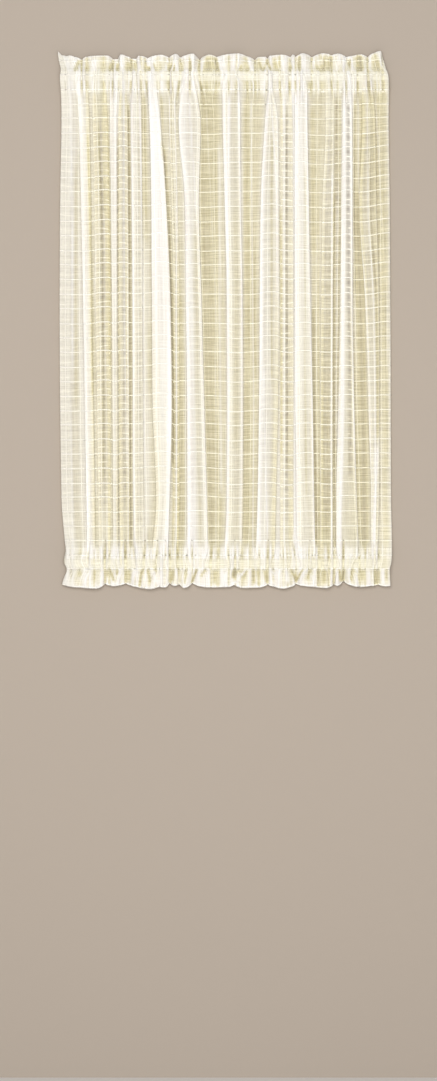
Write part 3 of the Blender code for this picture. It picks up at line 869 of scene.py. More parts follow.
    def _fold_block(self, fold: Fold, left: Array, right: Array) -> Columns:
        """The eleven control points of one fold.

        Cloth comes in along the base as far as the left tuck, turns back to the left edge, passes over
        the front, turns back at the right edge as far as the right tuck and goes on along the base.
        Two points at the same x make a turn that just reaches that x.

        Args:
            fold: The fold.
            left: X of its left edge in each row.
            right: X of its right edge.

        Returns:
            The control points.
        """
        rows, section = self.rows, self.section
        width = right - left
        room = (width - section.least_front) / 2
        tuck_left, tuck_right = (rows.tuck_share * np.minimum(tuck, room) for tuck in fold.tuck)
        stand = rows.depth * fold.rise
        under = rows.base - section.under * stand
        edge = rows.base - section.edge * stand
        face = rows.base - stand
        crest = left + (0.5 + fold.lean) * width
        shoulder = section.shoulder * width
        x = np.stack([
            left + tuck_left, left + tuck_left, left, left, left + shoulder, crest,
            right - shoulder, right, right, right - tuck_right, right - tuck_right,
        ], axis=-1)
        y = np.stack([
            rows.base, under, under, edge, face, face - section.crest_rise, face, edge, under, under,
            rows.base,
        ], axis=-1)
        front = np.array([0, 0, 0, 0.5, 1, 1, 1, 0.5, 0, 0, 0])
        turned = np.array([0, 1, 1, 0, 0, 0, 0, 0, 1, 1, 0])
        sag = fold.sag[0] * front + fold.sag[1] * turned
        veil = fold.veil * front
        veil[5] *= section.crest_veil
        tone = self._fading(fold.tone, fold.foot)[:, [0, 0, 0, 0, 1, 1, 2, 3, 3, 3, 3]]
        # Painted light along the turned edges.
        tone[:, [2, 3, 7, 8]] += section.edge_tone
        samples = np.array([2.0, 2, 3, 3, 4, 4, 4, 3, 3, 2, 2])
        return Columns(x, y, tone, veil, sag, samples)

    def _gap_block(self, start: Array, end: Array, fold: Fold) -> Columns:
        """The flat cloth to the right of a fold, with its soft waves.

        Args:
            start: X of the fold's right edge in each row.
            end: X of the next fold's left edge.
            fold: The fold, which says how the cloth after it lies.

        Returns:
            The control points, one for each wave.
        """
        share, rise = np.array(fold.after, float).T
        x = start[:, None] + (end - start)[:, None] * share
        y = self.rows.base[:, None] - rise * (self.rows.depth / self.wave_depth)[:, None]
        # The gap's tone; where it is raised it is painted light over the shade between close folds.
        tone = np.repeat(self._fading(fold.gap[:1], fold.gap[1:]), len(rise), axis=1)
        flat = np.zeros(len(rise))
        spacing = float(np.mean(end - start)) / (len(rise) + 1)
        samples = np.full(len(rise), max(3.0, round(spacing / self.sample_gap)))
        return Columns(x, y, tone, flat, flat, samples)

    def _hem_block(self, edge: Array, outwards: float) -> Columns:
        """One side hem: the cloth, its turn at the side edge and the layer turned to the wrong side.

        Args:
            edge: X of the side edge in each row.
            outwards: -1 on the left and 1 on the right.

        Returns:
            The control points, from left to right.
        """
        rows, hem = self.rows, self.side_hem
        cloth = rows.base - hem.rise * rows.depth
        turned = cloth - rows.layer * hem.layer
        x = edge[:, None] - outwards * hem.width * np.array(hem.insets)
        y = np.stack([turned] * 4 + [cloth, cloth - hem.ridge, cloth, cloth], axis=-1)
        tone = self._fading(*(hem.left_tone if outwards < 0 else hem.right_tone))
        count = len(hem.insets)
        block = Columns(x, y, tone, np.full(count, hem.veil), np.zeros(count),
                        np.full(count, hem.samples))
        return block if outwards < 0 else Columns(*(part[..., ::-1] for part in block))

    def _heights(self, x: Array, sag: Array) -> Array:
        """Z of every point: the row's height, the heading's reach, and in the body the weft's lift less
        the sag.

        Args:
            x: X of the points.
            sag: How far each column hangs down.

        Returns:
            Z of the points.
        """
        heading = self.rows.heading[:, None]
        reach = np.where(heading > 0, lobed_reading(x, TOP_EDGE), lobed_reading(x, LOW_EDGE))
        z = self.rows.height[:, None] + heading * reach
        return z + self.body * (self.lift.at(x, z) - sag)

    def _gathered(self, x: Array, y: Array) -> tuple:
        """Adds gather creases, the headings' ruffle and wrinkles, and keeps the cloth off the rods.

        A ridge is a Gaussian across. A trough is a narrow Gaussian between two raised lips. Both have
        their full height past the hem line and fade into the body with a smooth step over their length.
        A crease draws the cloth on both sides in towards its middle by a share of the distance. The
        headings' own creases are Gaussians that start at the rod's edge. A heading's rim swings towards
        the room where its edge reaches past the mean about it.

        Args:
            x: X of the points.
            y: Y of the points.

        Returns:
            x and y with the creases, and how far each point stands out or in by them.
        """
        rng = np.random.default_rng(SEED)
        make, spine, layer = self.gathers, self.spine[:, None], self.rows.layer[:, None]
        window = 2 * make.rim_span + 1
        gathers = np.zeros_like(x)
        for creases, ruffles, rod, up, outline in (
            (TOP_CREASES, TOP_RUFFLES, 0.0, 1.0, TOP_EDGE),
            (LOW_CREASES, LOW_RUFFLES, -self.rod_drop, -1.0, LOW_EDGE),
        ):
            into = -up * (spine - rod)
            beyond = np.maximum(-into - make.heading_start, 0.0)
            in_heading = 1.0 - make.heading_loss * make.into_heading.at(beyond)
            shift = np.zeros_like(x)
            for crease in creases + make.fine(rng):
                middle = crease.across + crease.slant * np.maximum(into, 0.0)
                away = (x - middle) / crease.width
                held = (1.0 - Step(make.into_body, crease.length).at(into)) * in_heading
                ridge = bell(away) * held
                if crease.height < 0:
                    lips = bell((np.abs(away) - make.lip) / make.trough) * held
                    ridge = make.trough_depth * bell(away / make.trough) * held - make.lip_height * lips
                gathers = gathers + crease.height * ridge
                shift = shift - make.pinch * crease.width * away * np.maximum(ridge, 0.0)
            for crease in ruffles:
                away = (x - crease.across - crease.slant * beyond) / crease.width
                held = make.ruffle_start.at(-into) * (1.0 - Step(crease.length, make.ruffle_end).at(beyond))
                gathers = gathers + crease.height * bell(away) * held
            x = x + shift
            across, reach = outline.T
            padded = np.pad(reach, make.rim_span, mode="edge")
            past_mean = reach - np.convolve(padded, np.full(window, 1 / window), mode="valid")
            y = y - make.rim_wave * smooth_reading(x, across, past_mean) * make.rim.at(-into)
        y = y - gathers * np.where(layer > 0, make.back_rise, make.rise)
        y = y - self.wrinkles.at(spine, x.shape[1], rng)
        near_rod = np.minimum(np.abs(spine), np.abs(spine + self.rod_drop)) < self.rod_half
        turned = np.abs(layer) < self.turn_limit
        front_held = np.where(near_rod & ~turned, np.minimum(y, self.rod_front), y)
        back_held = np.where(near_rod, np.maximum(y, self.rod_back), y)
        y = np.where(layer > 0, back_held, front_held)
        return x, np.minimum(y, -self.door_gap), gathers

    def _streaked(self, x: Array) -> Array:
        """The streaks' tone and veil: Gaussians across, let in and out by a smooth step at their ends.

        Args:
            x: X of the points.

        Returns:
            The tone and the veil of every point.
        """
        total = np.zeros((2,) + x.shape)
        half = self.streak_ends / 2
        for streak in STREAKS:
            middle = smooth_reading(self.spine, np.array(STREAK_LEVELS)[::-1], streak.across[::-1])
            shown = Step(-streak.top - half, self.streak_ends).at(-self.spine)
            shown = shown * Step(streak.foot - half, self.streak_ends).at(self.spine) * self.front
            away = (x - middle[:, None]) / streak.width
            strength = np.array([streak.tone, streak.veil])[:, None, None]
            total = total + strength * bell(away) * shown[:, None]
        return total

    def read(self, field: Array, row: Array, column: Array) -> Array:
        """Reads a grid field at places between its points, as a blend of the four about each.

        Args:
            field: The field, (row, column, number).
            row: Each place's row, with its share of the way to the next.
            column: Each place's column.

        Returns:
            The numbers at each place.
        """
        up = np.minimum(row.astype(int), field.shape[0] - 2)
        left = np.minimum(column.astype(int), field.shape[1] - 2)
        down, over = (row - up)[..., None], (column - left)[..., None]
        upper = field[up, left] * (1 - over) + field[up, left + 1] * over
        lower = field[up + 1, left] * (1 - over) + field[up + 1, left + 1] * over
        return upper * (1 - down) + lower * down

    def frames(self) -> tuple:
        """Unit directions of the grid by differences between neighbours, and their cross product.

        Returns:
            The directions along a row and down a column, and the normal towards the room.
        """
        over = np.gradient(self.points, axis=1)
        down = np.gradient(self.points, axis=0)
        fields = (over, down, np.cross(over, down))
        lengths = (np.linalg.norm(field, axis=-1, keepdims=True) for field in fields)
        return tuple(field / np.maximum(length, 1e-9) for field, length in zip(fields, lengths))


# --- meshes ---------------------------------------------------------------------------------------


def link(thing: Object) -> Object:
    """Puts an object in the scene and returns it."""
    bpy.context.scene.collection.objects.link(thing)
    return thing


def quad_grid(rows: int, columns: int) -> Array:
    """The faces of a grid of points: each joins a point to those below, across and to its right.

    Args:
        rows: How many rows the grid has.
        columns: How many points a row has.

    Returns:
        Four corner indices for each face.
    """
    index = np.arange(rows * columns).reshape(rows, columns)
    corners = (index[:-1, :-1], index[1:, :-1], index[1:, 1:], index[:-1, 1:])
    return np.stack(corners, axis=-1).reshape(-1, 4)


def mesh_object(name: str, points: Array, faces: Array) -> Object:
    """Makes a smooth-shaded object from points in millimetres and faces of one size.

    Args:
        name: Its name.
        points: Three numbers for each point.
        faces: A row of corner indices for each face.

    Returns:
        The object, at the origin.
    """
    mesh = bpy.data.meshes.new(name)
    points = np.ascontiguousarray(points.reshape(-1, 3) * METRES, np.float32)
    mesh.vertices.add(len(points))
    mesh.vertices.foreach_set("co", points.ravel())
    mesh.loops.add(faces.size)
    mesh.loops.foreach_set("vertex_index", np.ascontiguousarray(faces, np.int32).ravel())
    mesh.polygons.add(len(faces))
    starts = np.arange(0, faces.size, faces.shape[1], dtype=np.int32)
    mesh.polygons.foreach_set("loop_start", starts)
    mesh.update(calc_edges=True)
    mesh.validate()
    mesh.shade_smooth()
    return link(bpy.data.objects.new(name, mesh))


def low_cords(lines: Array, across: Array, normal: Array, section: tuple) -> tuple:
    """Sweeps a low triangle, two feet on the wrong side and a crest on the right side, along lines.

    Args:
        lines: Points of the lines, (line, point, 3).
        across: Unit directions across the line within the cloth.
        normal: Unit normals of the cloth.
        section: The triangle's half width, its crest above the cloth and its feet below it.

    Returns:
        Points and faces of all the cords, with their ends closed.
    """
    half_width, crest, foot = section
    ring = np.stack([
        lines + normal * crest,
        lines + across * half_width - normal * foot,
        lines - across * half_width - normal * foot,
    ], axis=2)
    index = np.arange(ring.size // 3).reshape(ring.shape[:3])
    ahead = np.roll(index, -1, axis=2)
    sides = np.stack([index[:, :-1], index[:, 1:], ahead[:, 1:], ahead[:, :-1]], axis=-1)
    sides = sides.reshape(-1, 4)
    halves = np.concatenate([sides[:, [0, 1, 2]], sides[:, [0, 2, 3]]])
    return ring.reshape(-1, 3), np.concatenate([halves, index[:, 0, ::-1], index[:, -1]])


def set_uv(thing: Object, uv: Array) -> None:
    """Gives each face corner the pair of its point.

    Args:
        thing: The piece.
        uv: A pair for each point.
    """
    mesh = thing.data
    corner = np.zeros(len(mesh.loops), np.int32)
    mesh.loops.foreach_get("vertex_index", corner)
    layer = mesh.uv_layers.new(name="cloth")
    layer.uv.foreach_set("vector", uv.reshape(-1, 2)[corner].astype(np.float32).ravel())


def set_value(thing: Object, name: str, values: Array) -> None:
    """Stores one number for each point as an attribute."""
    attribute = thing.data.attributes.new(name, "FLOAT", "POINT")
    attribute.data.foreach_set("value", values.astype(np.float32).ravel())


def join_cloth(thing: Object, material: Material) -> None:
    """Puts a finish on a piece of the cloth, and lets the piece ride with the panel.

    Args:
        thing: The piece.
        material: Its finish.
    """
    thing.data.materials.append(material)
    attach(thing, BODY)


# --- finishes -------------------------------------------------------------------------------------


class Grain(NamedTuple):
    """A noise: how many grains a unit of length holds along each axis, its detail and its shift."""

    stretch: tuple
    detail: float = 2.0
    shift: float = 0.0


class Graph:
    """A material's node tree, with short ways to add nodes and join them."""

    def __init__(self, name: str) -> None:
        """Starts an empty material of that name.

        Args:
            name: The material's name.
        """
        self.material = bpy.data.materials.new(name)
        self.material.use_nodes = True
        self.tree = self.material.node_tree
        self.tree.nodes.clear()

    def add(self, kind: str, inputs: dict | None = None, **settings: object) -> Node:
        """Adds a node.

        Args:
            kind: The node's type, without ShaderNode.
            inputs: Values or output sockets, by the input's name or number.
            settings: The node's own properties.

        Returns:
            The node.
        """
        node = self.tree.nodes.new("ShaderNode" + kind)
        for key, value in settings.items():
            setattr(node, key, value)
        for key, value in (inputs or {}).items():
            if isinstance(value, Socket):
                self.tree.links.new(value, node.inputs[key])
            else:
                node.inputs[key].default_value = value
        return node

    def out(self, kind: str, inputs: dict | None = None, **settings: object) -> Socket:
        """Adds a node and returns its first output."""
        return self.add(kind, inputs, **settings).outputs[0]

    def math(self, operation: str, *values: object, clamp: bool = False) -> Socket:
        """Adds a Math node over one to three values or sockets and returns its result."""
        return self.out("Math", dict(enumerate(values)), operation=operation, use_clamp=clamp)

    def times(self, first: object, second: object, clamp: bool = False) -> Socket:
        """The product of two values or sockets."""
        return self.math("MULTIPLY", first, second, clamp=clamp)

    def mean(self, first: object, second: object, share: float) -> Socket:
        """The weighted mean of two sockets: `share` of the first and the rest of the second."""
        return self.math("ADD", self.times(first, share), self.times(second, 1 - share))

    def blend(self, share: object, first: object, second: object) -> Socket:
        """Mixes two colours by a share and returns the result."""
        return self.out("MixRGB", {"Fac": share, "Color1": first, "Color2": second})

    def ramp(self, value: object, low: float, high: float, *ends: float) -> Socket:
        """A straight line from 0 to 1, or from one end to the other, as the value goes from low to high."""
        return self.out("MapRange", dict(enumerate((value, low, high, *ends))))

    def shaders(self, share: object, first: object, second: object) -> Socket:
        """Mixes two shaders by a share and returns the result."""
        return self.out("MixShader", {0: share, 1: first, 2: second})

    def attribute(self, name: str) -> Socket:
        """Reads one of the mesh's own numbers."""
        return self.add("Attribute", attribute_name=name).outputs["Fac"]

    def place(self) -> Socket:
        """Object coordinates, in metres."""
        return self.add("TexCoord").outputs["Object"]

    def noise(self, place: Socket, grain: Grain) -> Socket:
        """Noise about 0.5.

        Args:
            place: The coordinates it is read at.
            grain: The noise's grain.

        Returns:
            The noise.
        """
        mapped = self.out("Mapping", {"Vector": place, "Scale": grain.stretch,
                                      "Location": (grain.shift,) * 3})
        made = self.add("TexNoise", {"Vector": mapped, "Scale": 1.0, "Detail": grain.detail,
                                     "Roughness": 0.55}, noise_dimensions="3D")
        return made.outputs["Fac"]

    def bump(self, height: Socket, strength: float, depth: float) -> Socket:
        """A bumped normal: a height, how strongly it shows and how many metres deep it is."""
        return self.out("Bump", {"Height": height, "Strength": strength, "Distance": depth})

    def finish(self, surface: Socket) -> Material:
        """Joins the surface to the output and returns the material."""
        self.add("OutputMaterial", {"Surface": surface})
        return self.material


class CordAndShadowLine(NamedTuple):
    """One line where clear cloth shows an under layer's cord, or the painted shadow beside it: its place
    in the check's course, its half width, how strongly it colours clear cloth and how much it closes it."""

    middle: float
    half: float
    strength: float
    cover: float


@dataclass(frozen=True)
class SheerFinish:
    """The sheer ground between the cords: fine slubbed threads, see-through, whiter in its folds, where
    layers stack and light is painted, and darker with painted shade.

    The grains are read in millimetres across and along the cut.
    """

    valley: tuple = (0.70, 0.64, 0.385, 1.0)
    slub: tuple = (0.95, 0.90, 0.67, 1.0)
    # Whiter cloth where the tone is above 0: stacked layers and painted light.
    cream: tuple = (0.88, 0.845, 0.80, 1.0)
    white: tuple = (0.975, 0.965, 0.935, 1.0)
    # Painted shade, blended in where the tone is below 0.
    shade: tuple = (0.62, 0.57, 0.41, 1.0)
    bar: tuple = (0.965, 0.94, 0.82, 1.0)
    in_panel: tuple = (0.77, 0.72, 0.60, 1.0)
    # Painted shadow beside the under layers' cords.
    shadow_tint: tuple = (0.66, 0.63, 0.59, 1.0)
    in_hem: tuple = (0.86, 0.84, 0.78, 1.0)
    seen_through: tuple = (0.985, 0.975, 0.92, 1.0)
    weft_slubs: Grain = Grain((0.018, 0.45, 1.0), 3.0)
    warp_slubs: Grain = Grain((0.45, 0.008, 1.0), 3.0, 7.0)
    weft_threads: Grain = Grain((0.09, 1.1, 1.0), 1.0, 13.0)
    warp_threads: Grain = Grain((1.1, 0.09, 1.0), 1.0, 19.0)
    small_pleats: Grain = Grain((0.22, 0.003, 1.0), 2.0, 29.0)
    wavering: Grain = Grain((0.02, 0.004, 1.0), 0.0, 41.0)
    coming: Grain = Grain((0.11, 0.03, 1.0), 1.0, 47.0)
    pale_line: CordAndShadowLine = CordAndShadowLine(0.88, 0.07, 0.7, 0.45)
    # The dim line is a painted shadow beside each under layer's cord.
    shadow_line: CordAndShadowLine = CordAndShadowLine(0.56, 0.16, 0.6, 0.12)
    wavering_share: float = 0.5
    coming_limits: tuple = (0.38, 0.58, 0.25, 1.0)
    line_core: float = 0.3
    weft_share: float = 0.64
    slub_limits: tuple = (0.36, 0.64)
    pleat_share: float = 0.7
    pleat_limits: tuple = (0.38, 0.56)
    clearing: float = 3.2
    panel_share: float = 0.5
    hem_share: float = 0.7
    cover: float = 0.68
    fold_cover: float = 0.22
    dulled: float = 0.7
    slub_cover: float = 0.22
    thread_cover: float = 0.5
    roughness: float = 0.8
    glow: float = 0.3

    def _doubled_lines(self, graph: Graph, place: Socket, first_cord: float) -> list:
        """The under layers' cords as they show through clear cloth: a pale line in each course of the check
        and a dim line of painted shadow beside it, soft edged, wavering and coming and going along the
        weft.

        Args:
            graph: The material's graph.
            place: Millimetres across and along the cut.
            first_cord: How far along the cut one cord lies.

        Returns:
            How strong the pale line and the painted shadow line are.
        """
        down = graph.add("SeparateXYZ", {0: place}).outputs[1]
        course = graph.math("DIVIDE", graph.math("SUBTRACT", down, first_cord), CORD_PITCH)
        waver = graph.noise(place, self.wavering)
        course = graph.math("FRACT", graph.math("MULTIPLY_ADD", waver, self.wavering_share, course))
        comes = graph.ramp(graph.noise(place, self.coming), *self.coming_limits)
        lines = []
        for line in (self.pale_line, self.shadow_line):
            away = graph.math("ABSOLUTE", graph.math("SUBTRACT", course, line.middle))
            shown = graph.ramp(away, self.line_core * line.half, line.half, 1.0, 0.0)
            lines.append(graph.times(comes, shown))
        return lines

    def material(self, width: float, length: float, first_cord: float) -> Material:
        """Makes the material.

        Args:
            width: The cloth's flat width in millimetres, which the UV map spans.
            length: Its flat length.
            first_cord: How far along the cut one weft cord lies.

        Returns:
            The material.
        """
        graph = Graph("sheer_ground")
        uv = graph.out("UVMap", uv_map="cloth")
        place = graph.out("Mapping", {"Vector": uv, "Scale": (width, length, 1.0)})
        tone, veil, hem = (graph.attribute(name) for name in ("tone", "veil", "hem"))
        weft, warp, thread, end, pleat = (graph.noise(place, grain) for grain in (
            self.weft_slubs, self.warp_slubs, self.weft_threads, self.warp_threads, self.small_pleats))
        streak = graph.mean(weft, warp, self.weft_share)
        bold = graph.ramp(streak, *self.slub_limits)
        fine = graph.mean(thread, end, 0.5)
        sheer = graph.times(veil, self.clearing, clamp=True)
        pale, dim = self._doubled_lines(graph, place, first_cord)

        ground = graph.blend(bold, self.valley, self.slub)
        ground = graph.blend(graph.times(sheer, self.panel_share), ground, self.in_panel)
        # Painted shade where the tone is below 0.
        ground = graph.blend(graph.times(tone, -1.0, clamp=True), ground, self.shade)
        smooth = graph.ramp(graph.mean(pleat, streak, self.pleat_share), *self.pleat_limits)
        folded_and_lit = graph.blend(smooth, self.cream, self.white)
        # Whiter where the tone is above 0: stacked layers and painted light.
        colour = graph.blend(graph.times(tone, 1.0, clamp=True), ground, folded_and_lit)
        colour = graph.blend(graph.times(hem, self.hem_share), colour, self.in_hem)
        # The under layers' cords show through clear cloth, each with a painted shadow line beside it.
        for line, shown, tint in ((self.pale_line, pale, self.bar), (self.shadow_line, dim, self.shadow_tint)):
            share = graph.times(sheer, graph.times(shown, line.strength))
            colour = graph.blend(share, colour, tint)

        # The tone also closes the cloth where it is whiter and opens it where shade is painted.
        cover = graph.math("MULTIPLY_ADD", tone, self.fold_cover, self.cover)
        cover = graph.math("SUBTRACT", cover, veil)
        bars = graph.math("SUBTRACT", graph.times(pale, self.pale_line.cover),
                          graph.times(dim, self.shadow_line.cover))
        cover = graph.math("MULTIPLY_ADD", sheer, bars, cover)
        dull = graph.math("SUBTRACT", 1.0, graph.times(tone, self.dulled, clamp=True))
        for weave, share, last in ((bold, self.slub_cover, False), (fine, self.thread_cover, True)):
            uneven = graph.math("SUBTRACT", weave, 0.5)
            cover = graph.math("MULTIPLY_ADD", uneven, graph.times(dull, share), cover, clamp=last)

        normal = graph.bump(fine, 0.25, 0.0006)
        threads = graph.out("BsdfPrincipled", {
            "Base Color": colour, "Roughness": self.roughness, "Specular IOR Level": 0.25,
            "Sheen Weight": 0.15, "Sheen Roughness": 0.5, "Normal": normal,
        })
        through = graph.out("BsdfTranslucent", {"Color": colour, "Normal": normal})
        holes = graph.out("BsdfTransparent", {"Color": self.seen_through})
        return graph.finish(graph.shaders(cover, holes, graph.shaders(self.glow, threads, through)))


@dataclass(frozen=True)
class CordFinish:
    """Soft spun cotton: an ivory cord or sewing thread with a faint twist."""

    name: str
    pale: tuple = (0.99, 0.95, 0.76, 1.0)
    dull: tuple = (0.935, 0.89, 0.69, 1.0)
    white: tuple = (0.98, 0.97, 0.92, 1.0)
    in_hem: tuple = (0.87, 0.83, 0.75, 1.0)
    in_panel: tuple = (0.93, 0.90, 0.80, 1.0)
    clearing: float = 3.0
    plies_per_metre: float = 125.0
    spots: Grain = Grain((90.0, 90.0, 90.0))
    spot_limits: tuple = (0.4, 0.6)

    def material(self) -> Material:
        """Makes the material, its twist and unevenness read from object coordinates.

        Returns:
            The material.
        """
        graph = Graph(self.name)
        place = graph.place()
        tone, veil, hem = (graph.attribute(name) for name in ("tone", "veil", "hem"))
        spotted = graph.ramp(graph.noise(place, self.spots), *self.spot_limits)
        # Whiter with the cloth's tone, which is partly painted light.
        colour = graph.blend(tone, graph.blend(spotted, self.dull, self.pale), self.white)
        colour = graph.blend(hem, colour, self.in_hem)
        colour = graph.blend(graph.times(veil, self.clearing, clamp=True), colour, self.in_panel)
        plies = graph.add("TexWave", {"Vector": place, "Scale": self.plies_per_metre,
                                      "Distortion": 1.5}, bands_direction="DIAGONAL")
        return graph.finish(graph.out("BsdfPrincipled", {
            "Base Color": colour, "Roughness": 0.75, "Specular IOR Level": 0.2,
            "Sheen Weight": 0.2, "Normal": graph.bump(plies.outputs["Fac"], 0.3, 0.0003),
        }))


@dataclass(frozen=True)
class EnamelFinish:
    """White baked enamel on the steel rods, a little uneven and dulled along its length."""

    clean: tuple = (0.71, 0.72, 0.75, 1.0)
    worn: tuple = (0.65, 0.655, 0.67, 1.0)
    patches: Grain = Grain((14.0, 60.0, 60.0), 4.0)
    orange_peel: Grain = Grain((420.0, 420.0, 420.0), 1.0, 3.0)
    wear_power: float = 2.5
    smoothest: float = 0.22
    unevenness: float = 0.22

    def material(self) -> Material:
        """Makes the material from object coordinates.

        Returns:
            The material.
        """
        graph = Graph("rod_enamel")
        place = graph.place()
        patches = graph.noise(place, self.patches)
        colour = graph.blend(graph.math("POWER", patches, self.wear_power), self.clean, self.worn)
        gloss = graph.math("MULTIPLY_ADD", patches, self.unevenness, self.smoothest)
        return graph.finish(graph.out("BsdfPrincipled", {
            "Base Color": colour, "Roughness": gloss, "Specular IOR Level": 0.5, "Coat Weight": 0.2,
            "Normal": graph.bump(graph.noise(place, self.orange_peel), 0.12, 0.0002),
        }))


@dataclass(frozen=True)
class StageFinish:
    """A plain matt surface of the studio. Seen from behind it lets the camera look through."""

    name: str
    colour: tuple
    see_through_behind: bool = False
    mottle: Grain = Grain((1.3, 1.3, 1.3), 3.0)
    mottle_depth: float = 0.97

    def material(self) -> Material:
        """Makes the material.

        Returns:
            The material.
        """
        graph = Graph(self.name)
        mottle = graph.noise(graph.place(), self.mottle)
        darker = tuple(self.mottle_depth * part for part in self.colour[:3]) + (1.0,)
        matt = graph.out("BsdfDiffuse", {"Color": graph.blend(mottle, self.colour, darker)})
        if not self.see_through_behind:
            return graph.finish(matt)
        behind = graph.add("NewGeometry").outputs["Backfacing"]
        looked_at = graph.add("LightPath").outputs["Is Camera Ray"]
        clear = graph.out("BsdfTransparent")
        return graph.finish(graph.shaders(graph.times(behind, looked_at), matt, clear))


# --- pieces ---------------------------------------------------------------------------------------


def lay_cords(name: str, shape: HungCloth, row: Array, column: Array, section: tuple,
              along_rows: bool = True) -> Object:
    """Lays cords on the cloth, along lines of places on its grid.

    Args:
        name: The piece's name.
        shape: The cloth.
        row: The rows of each line's places.
        column: Their columns.
        section: The cords' section.
        along_rows: Whether the lines run along the rows or down the columns.

    Returns:
        The cords as one mesh.
    """
    over, down, normal = shape.frames()
    side = down if along_rows else over
    return mesh_object(name, *low_cords(
        *(shape.read(field, row, column) for field in (shape.points, side, normal)), section))


@dataclass
class CurtainPanel:
    """The sheer cloth itself, one mesh over the whole cut."""

    shape: HungCloth
    finish: SheerFinish
    turned_tone: float = 0.3

    def build(self) -> Object:
        """Makes the cloth's mesh with its UV map and its numbers, and dresses it.

        Where the cloth turns away from the room it is whiter by a share of the turn: painted light over
        the shade on its sideways faces, and the denser look of cloth seen edge-on.

        Returns:
            The cloth.
        """
        shape = self.shape
        panel = mesh_object("sheer_panel", shape.points, quad_grid(*shape.points.shape[:2]))
        across = shape.across / shape.flat_width
        along = shape.along / shape.flat_length
        set_uv(panel, np.stack(np.meshgrid(across, along), axis=-1))
        # Painted light where the cloth turns sideways, with the denser look of cloth seen edge-on.
        turned = 1.0 - np.abs(shape.frames()[2][..., 1])
        set_value(panel, "tone", np.clip(shape.tone + self.turned_tone * turned, -1.0, 1.0))
        set_value(panel, "veil", shape.veil)
        set_value(panel, "hem", shape.hem)
        join_cloth(panel, self.finish.material(shape.flat_width, shape.flat_length, shape.first_cord))
        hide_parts(CLOTH_NODE)
        return panel


@dataclass
class WindowpaneCords:
    """The thick cords of the check, laid on the cloth's surface in one of its two directions.

    A cord's section is a low triangle: two feet on the wrong side and a crest on the right side. Some
    warp cords are placed where they show between the folds at the waist.
    """

    shape: HungCloth
    course: Course
    section: tuple
    finish: CordFinish
    weft_margin: float = 4.0
    jitters: tuple = ((0.7, 2.4, 0.0), (0.4, 5.1, 1.0))
    warp_margin: float = 5.0
    seen_warps: tuple = (-152.0, -93.0, -16.0, 52.0, 112.0, 176.0, 202.0, 284.0)
    seen_within: float = 2.5

    def build(self) -> Object:
        """Makes the cords of this course as one mesh.

        Returns:
            The cords.
        """
        shape = self.shape
        rows, columns = shape.tone.shape
        if self.course is Course.WEFT:
            row = np.interp(self._weft_places(), shape.along, np.arange(rows))[:, None]
            column = np.arange(columns)
        else:
            row = np.arange(rows)
            column = np.interp(self._warp_places(), shape.across, np.arange(columns))[:, None]
        row, column = np.broadcast_arrays(row, column)
        cords = lay_cords(self.course.value, shape, row, column, self.section, self.course is Course.WEFT)
        for name in ("tone", "hem", "veil"):
            field = getattr(shape, name)[..., None]
            set_value(cords, name, np.repeat(shape.read(field, row, column), 3))
        join_cloth(cords, self.finish.material())
        return cords

    def _weft_places(self) -> Array:
        """Where the weft cords lie along the cut: at the pitch on both sides of the first one, each off
        its place by the sum of two sines, each with its reach, its angle for each cord and its start.

        Returns:
            How far along the cut each cord lies.
        """
        first = self.shape.first_cord
        before = int((first - self.weft_margin) // CORD_PITCH)
        after = int((self.shape.flat_length - self.weft_margin - first) // CORD_PITCH)
        steps = np.arange(-before, after + 1)
        jitter = sum(reach * np.sin(steps * angle + start) for reach, angle, start in self.jitters)
        return first + CORD_PITCH * steps + jitter

    def _warp_places(self) -> Array:
        """Where the warp cords lie: the seen ones, and others between those at about the pitch.

        Returns:
            How far across the cut each cord lies.
        """
        waist = self.shape.points[self.shape.waist]
        away = np.abs(waist[:, 0] - np.array(self.seen_warps)[:, None])
        nearness = np.where(away < self.seen_within, waist[:, 1], np.inf)
        stops = np.sort(self.shape.across[np.argmin(nearness, axis=1)])
        stops = np.concatenate([[self.warp_margin], stops, [self.shape.flat_width - self.warp_margin]])
        counts = np.maximum(1, np.round(np.diff(stops) / CORD_PITCH)).astype(int)
        runs = [np.linspace(a, b, n, endpoint=False) for a, b, n in zip(stops, stops[1:], counts)]
        return np.append(np.concatenate(runs), stops[-1])


@dataclass
class HemStitches:
    """Running stitches on the right side: two rows at each pocket, on the heading and on the hem."""

    shape: HungCloth
    finish: CordFinish
    heights: tuple = (12.5, -29.0, -897.5, -939.0)
    length: float = 2.8
    gap: float = 1.2
    margin: float = 2.0
    section: tuple = (0.3, 0.45, 0.25)
    tone: float = 0.5

    def build(self) -> Object:
        """Makes every stitch as one mesh: each lies on three points of its row, read from the cloth's
        grid as a blend of the rows above and below and of the columns beside it.

        Returns:
            The stitches.
        """
        shape = self.shape
        front = np.flatnonzero(shape.front)
        count = int(shape.flat_width // (self.length + self.gap)) - 1
        starts = np.linspace(self.margin, shape.flat_width - self.margin - self.length, count)
        across = starts[:, None] + self.length * np.array([0.0, 0.5, 1.0])
        column = np.interp(across, shape.across, np.arange(len(shape.across)))
        row = np.interp(-np.array(self.heights), -shape.rows.height[front], front)
        row, column = (part.reshape(-1, 3) for part in np.broadcast_arrays(row[:, None, None], column))
        stitches = lay_cords("hem_stitches", shape, row, column, self.section)
        set_value(stitches, "tone", np.full(len(stitches.data.vertices), self.tone))
        join_cloth(stitches, self.finish.material())
        return stitches


@dataclass
class SashRods:
    """The two flat rods: the frame's own meshes, given their enamel."""

    finish: EnamelFinish

    def dress(self) -> None:
        """Puts the enamel in the rods' material slots."""
        enamel = self.finish.material()
        for name in ROD_NODES:
            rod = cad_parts[name]
            rod.data.materials.clear()
            rod.data.materials.append(enamel)
            LOG.info("%s: enamelled", name)


class SoftLight(NamedTuple):
    """One square soft light: its name, place in metres, size, watts and colour."""

    name: str
    place: tuple
    size: float
    watts: float
    colour: tuple


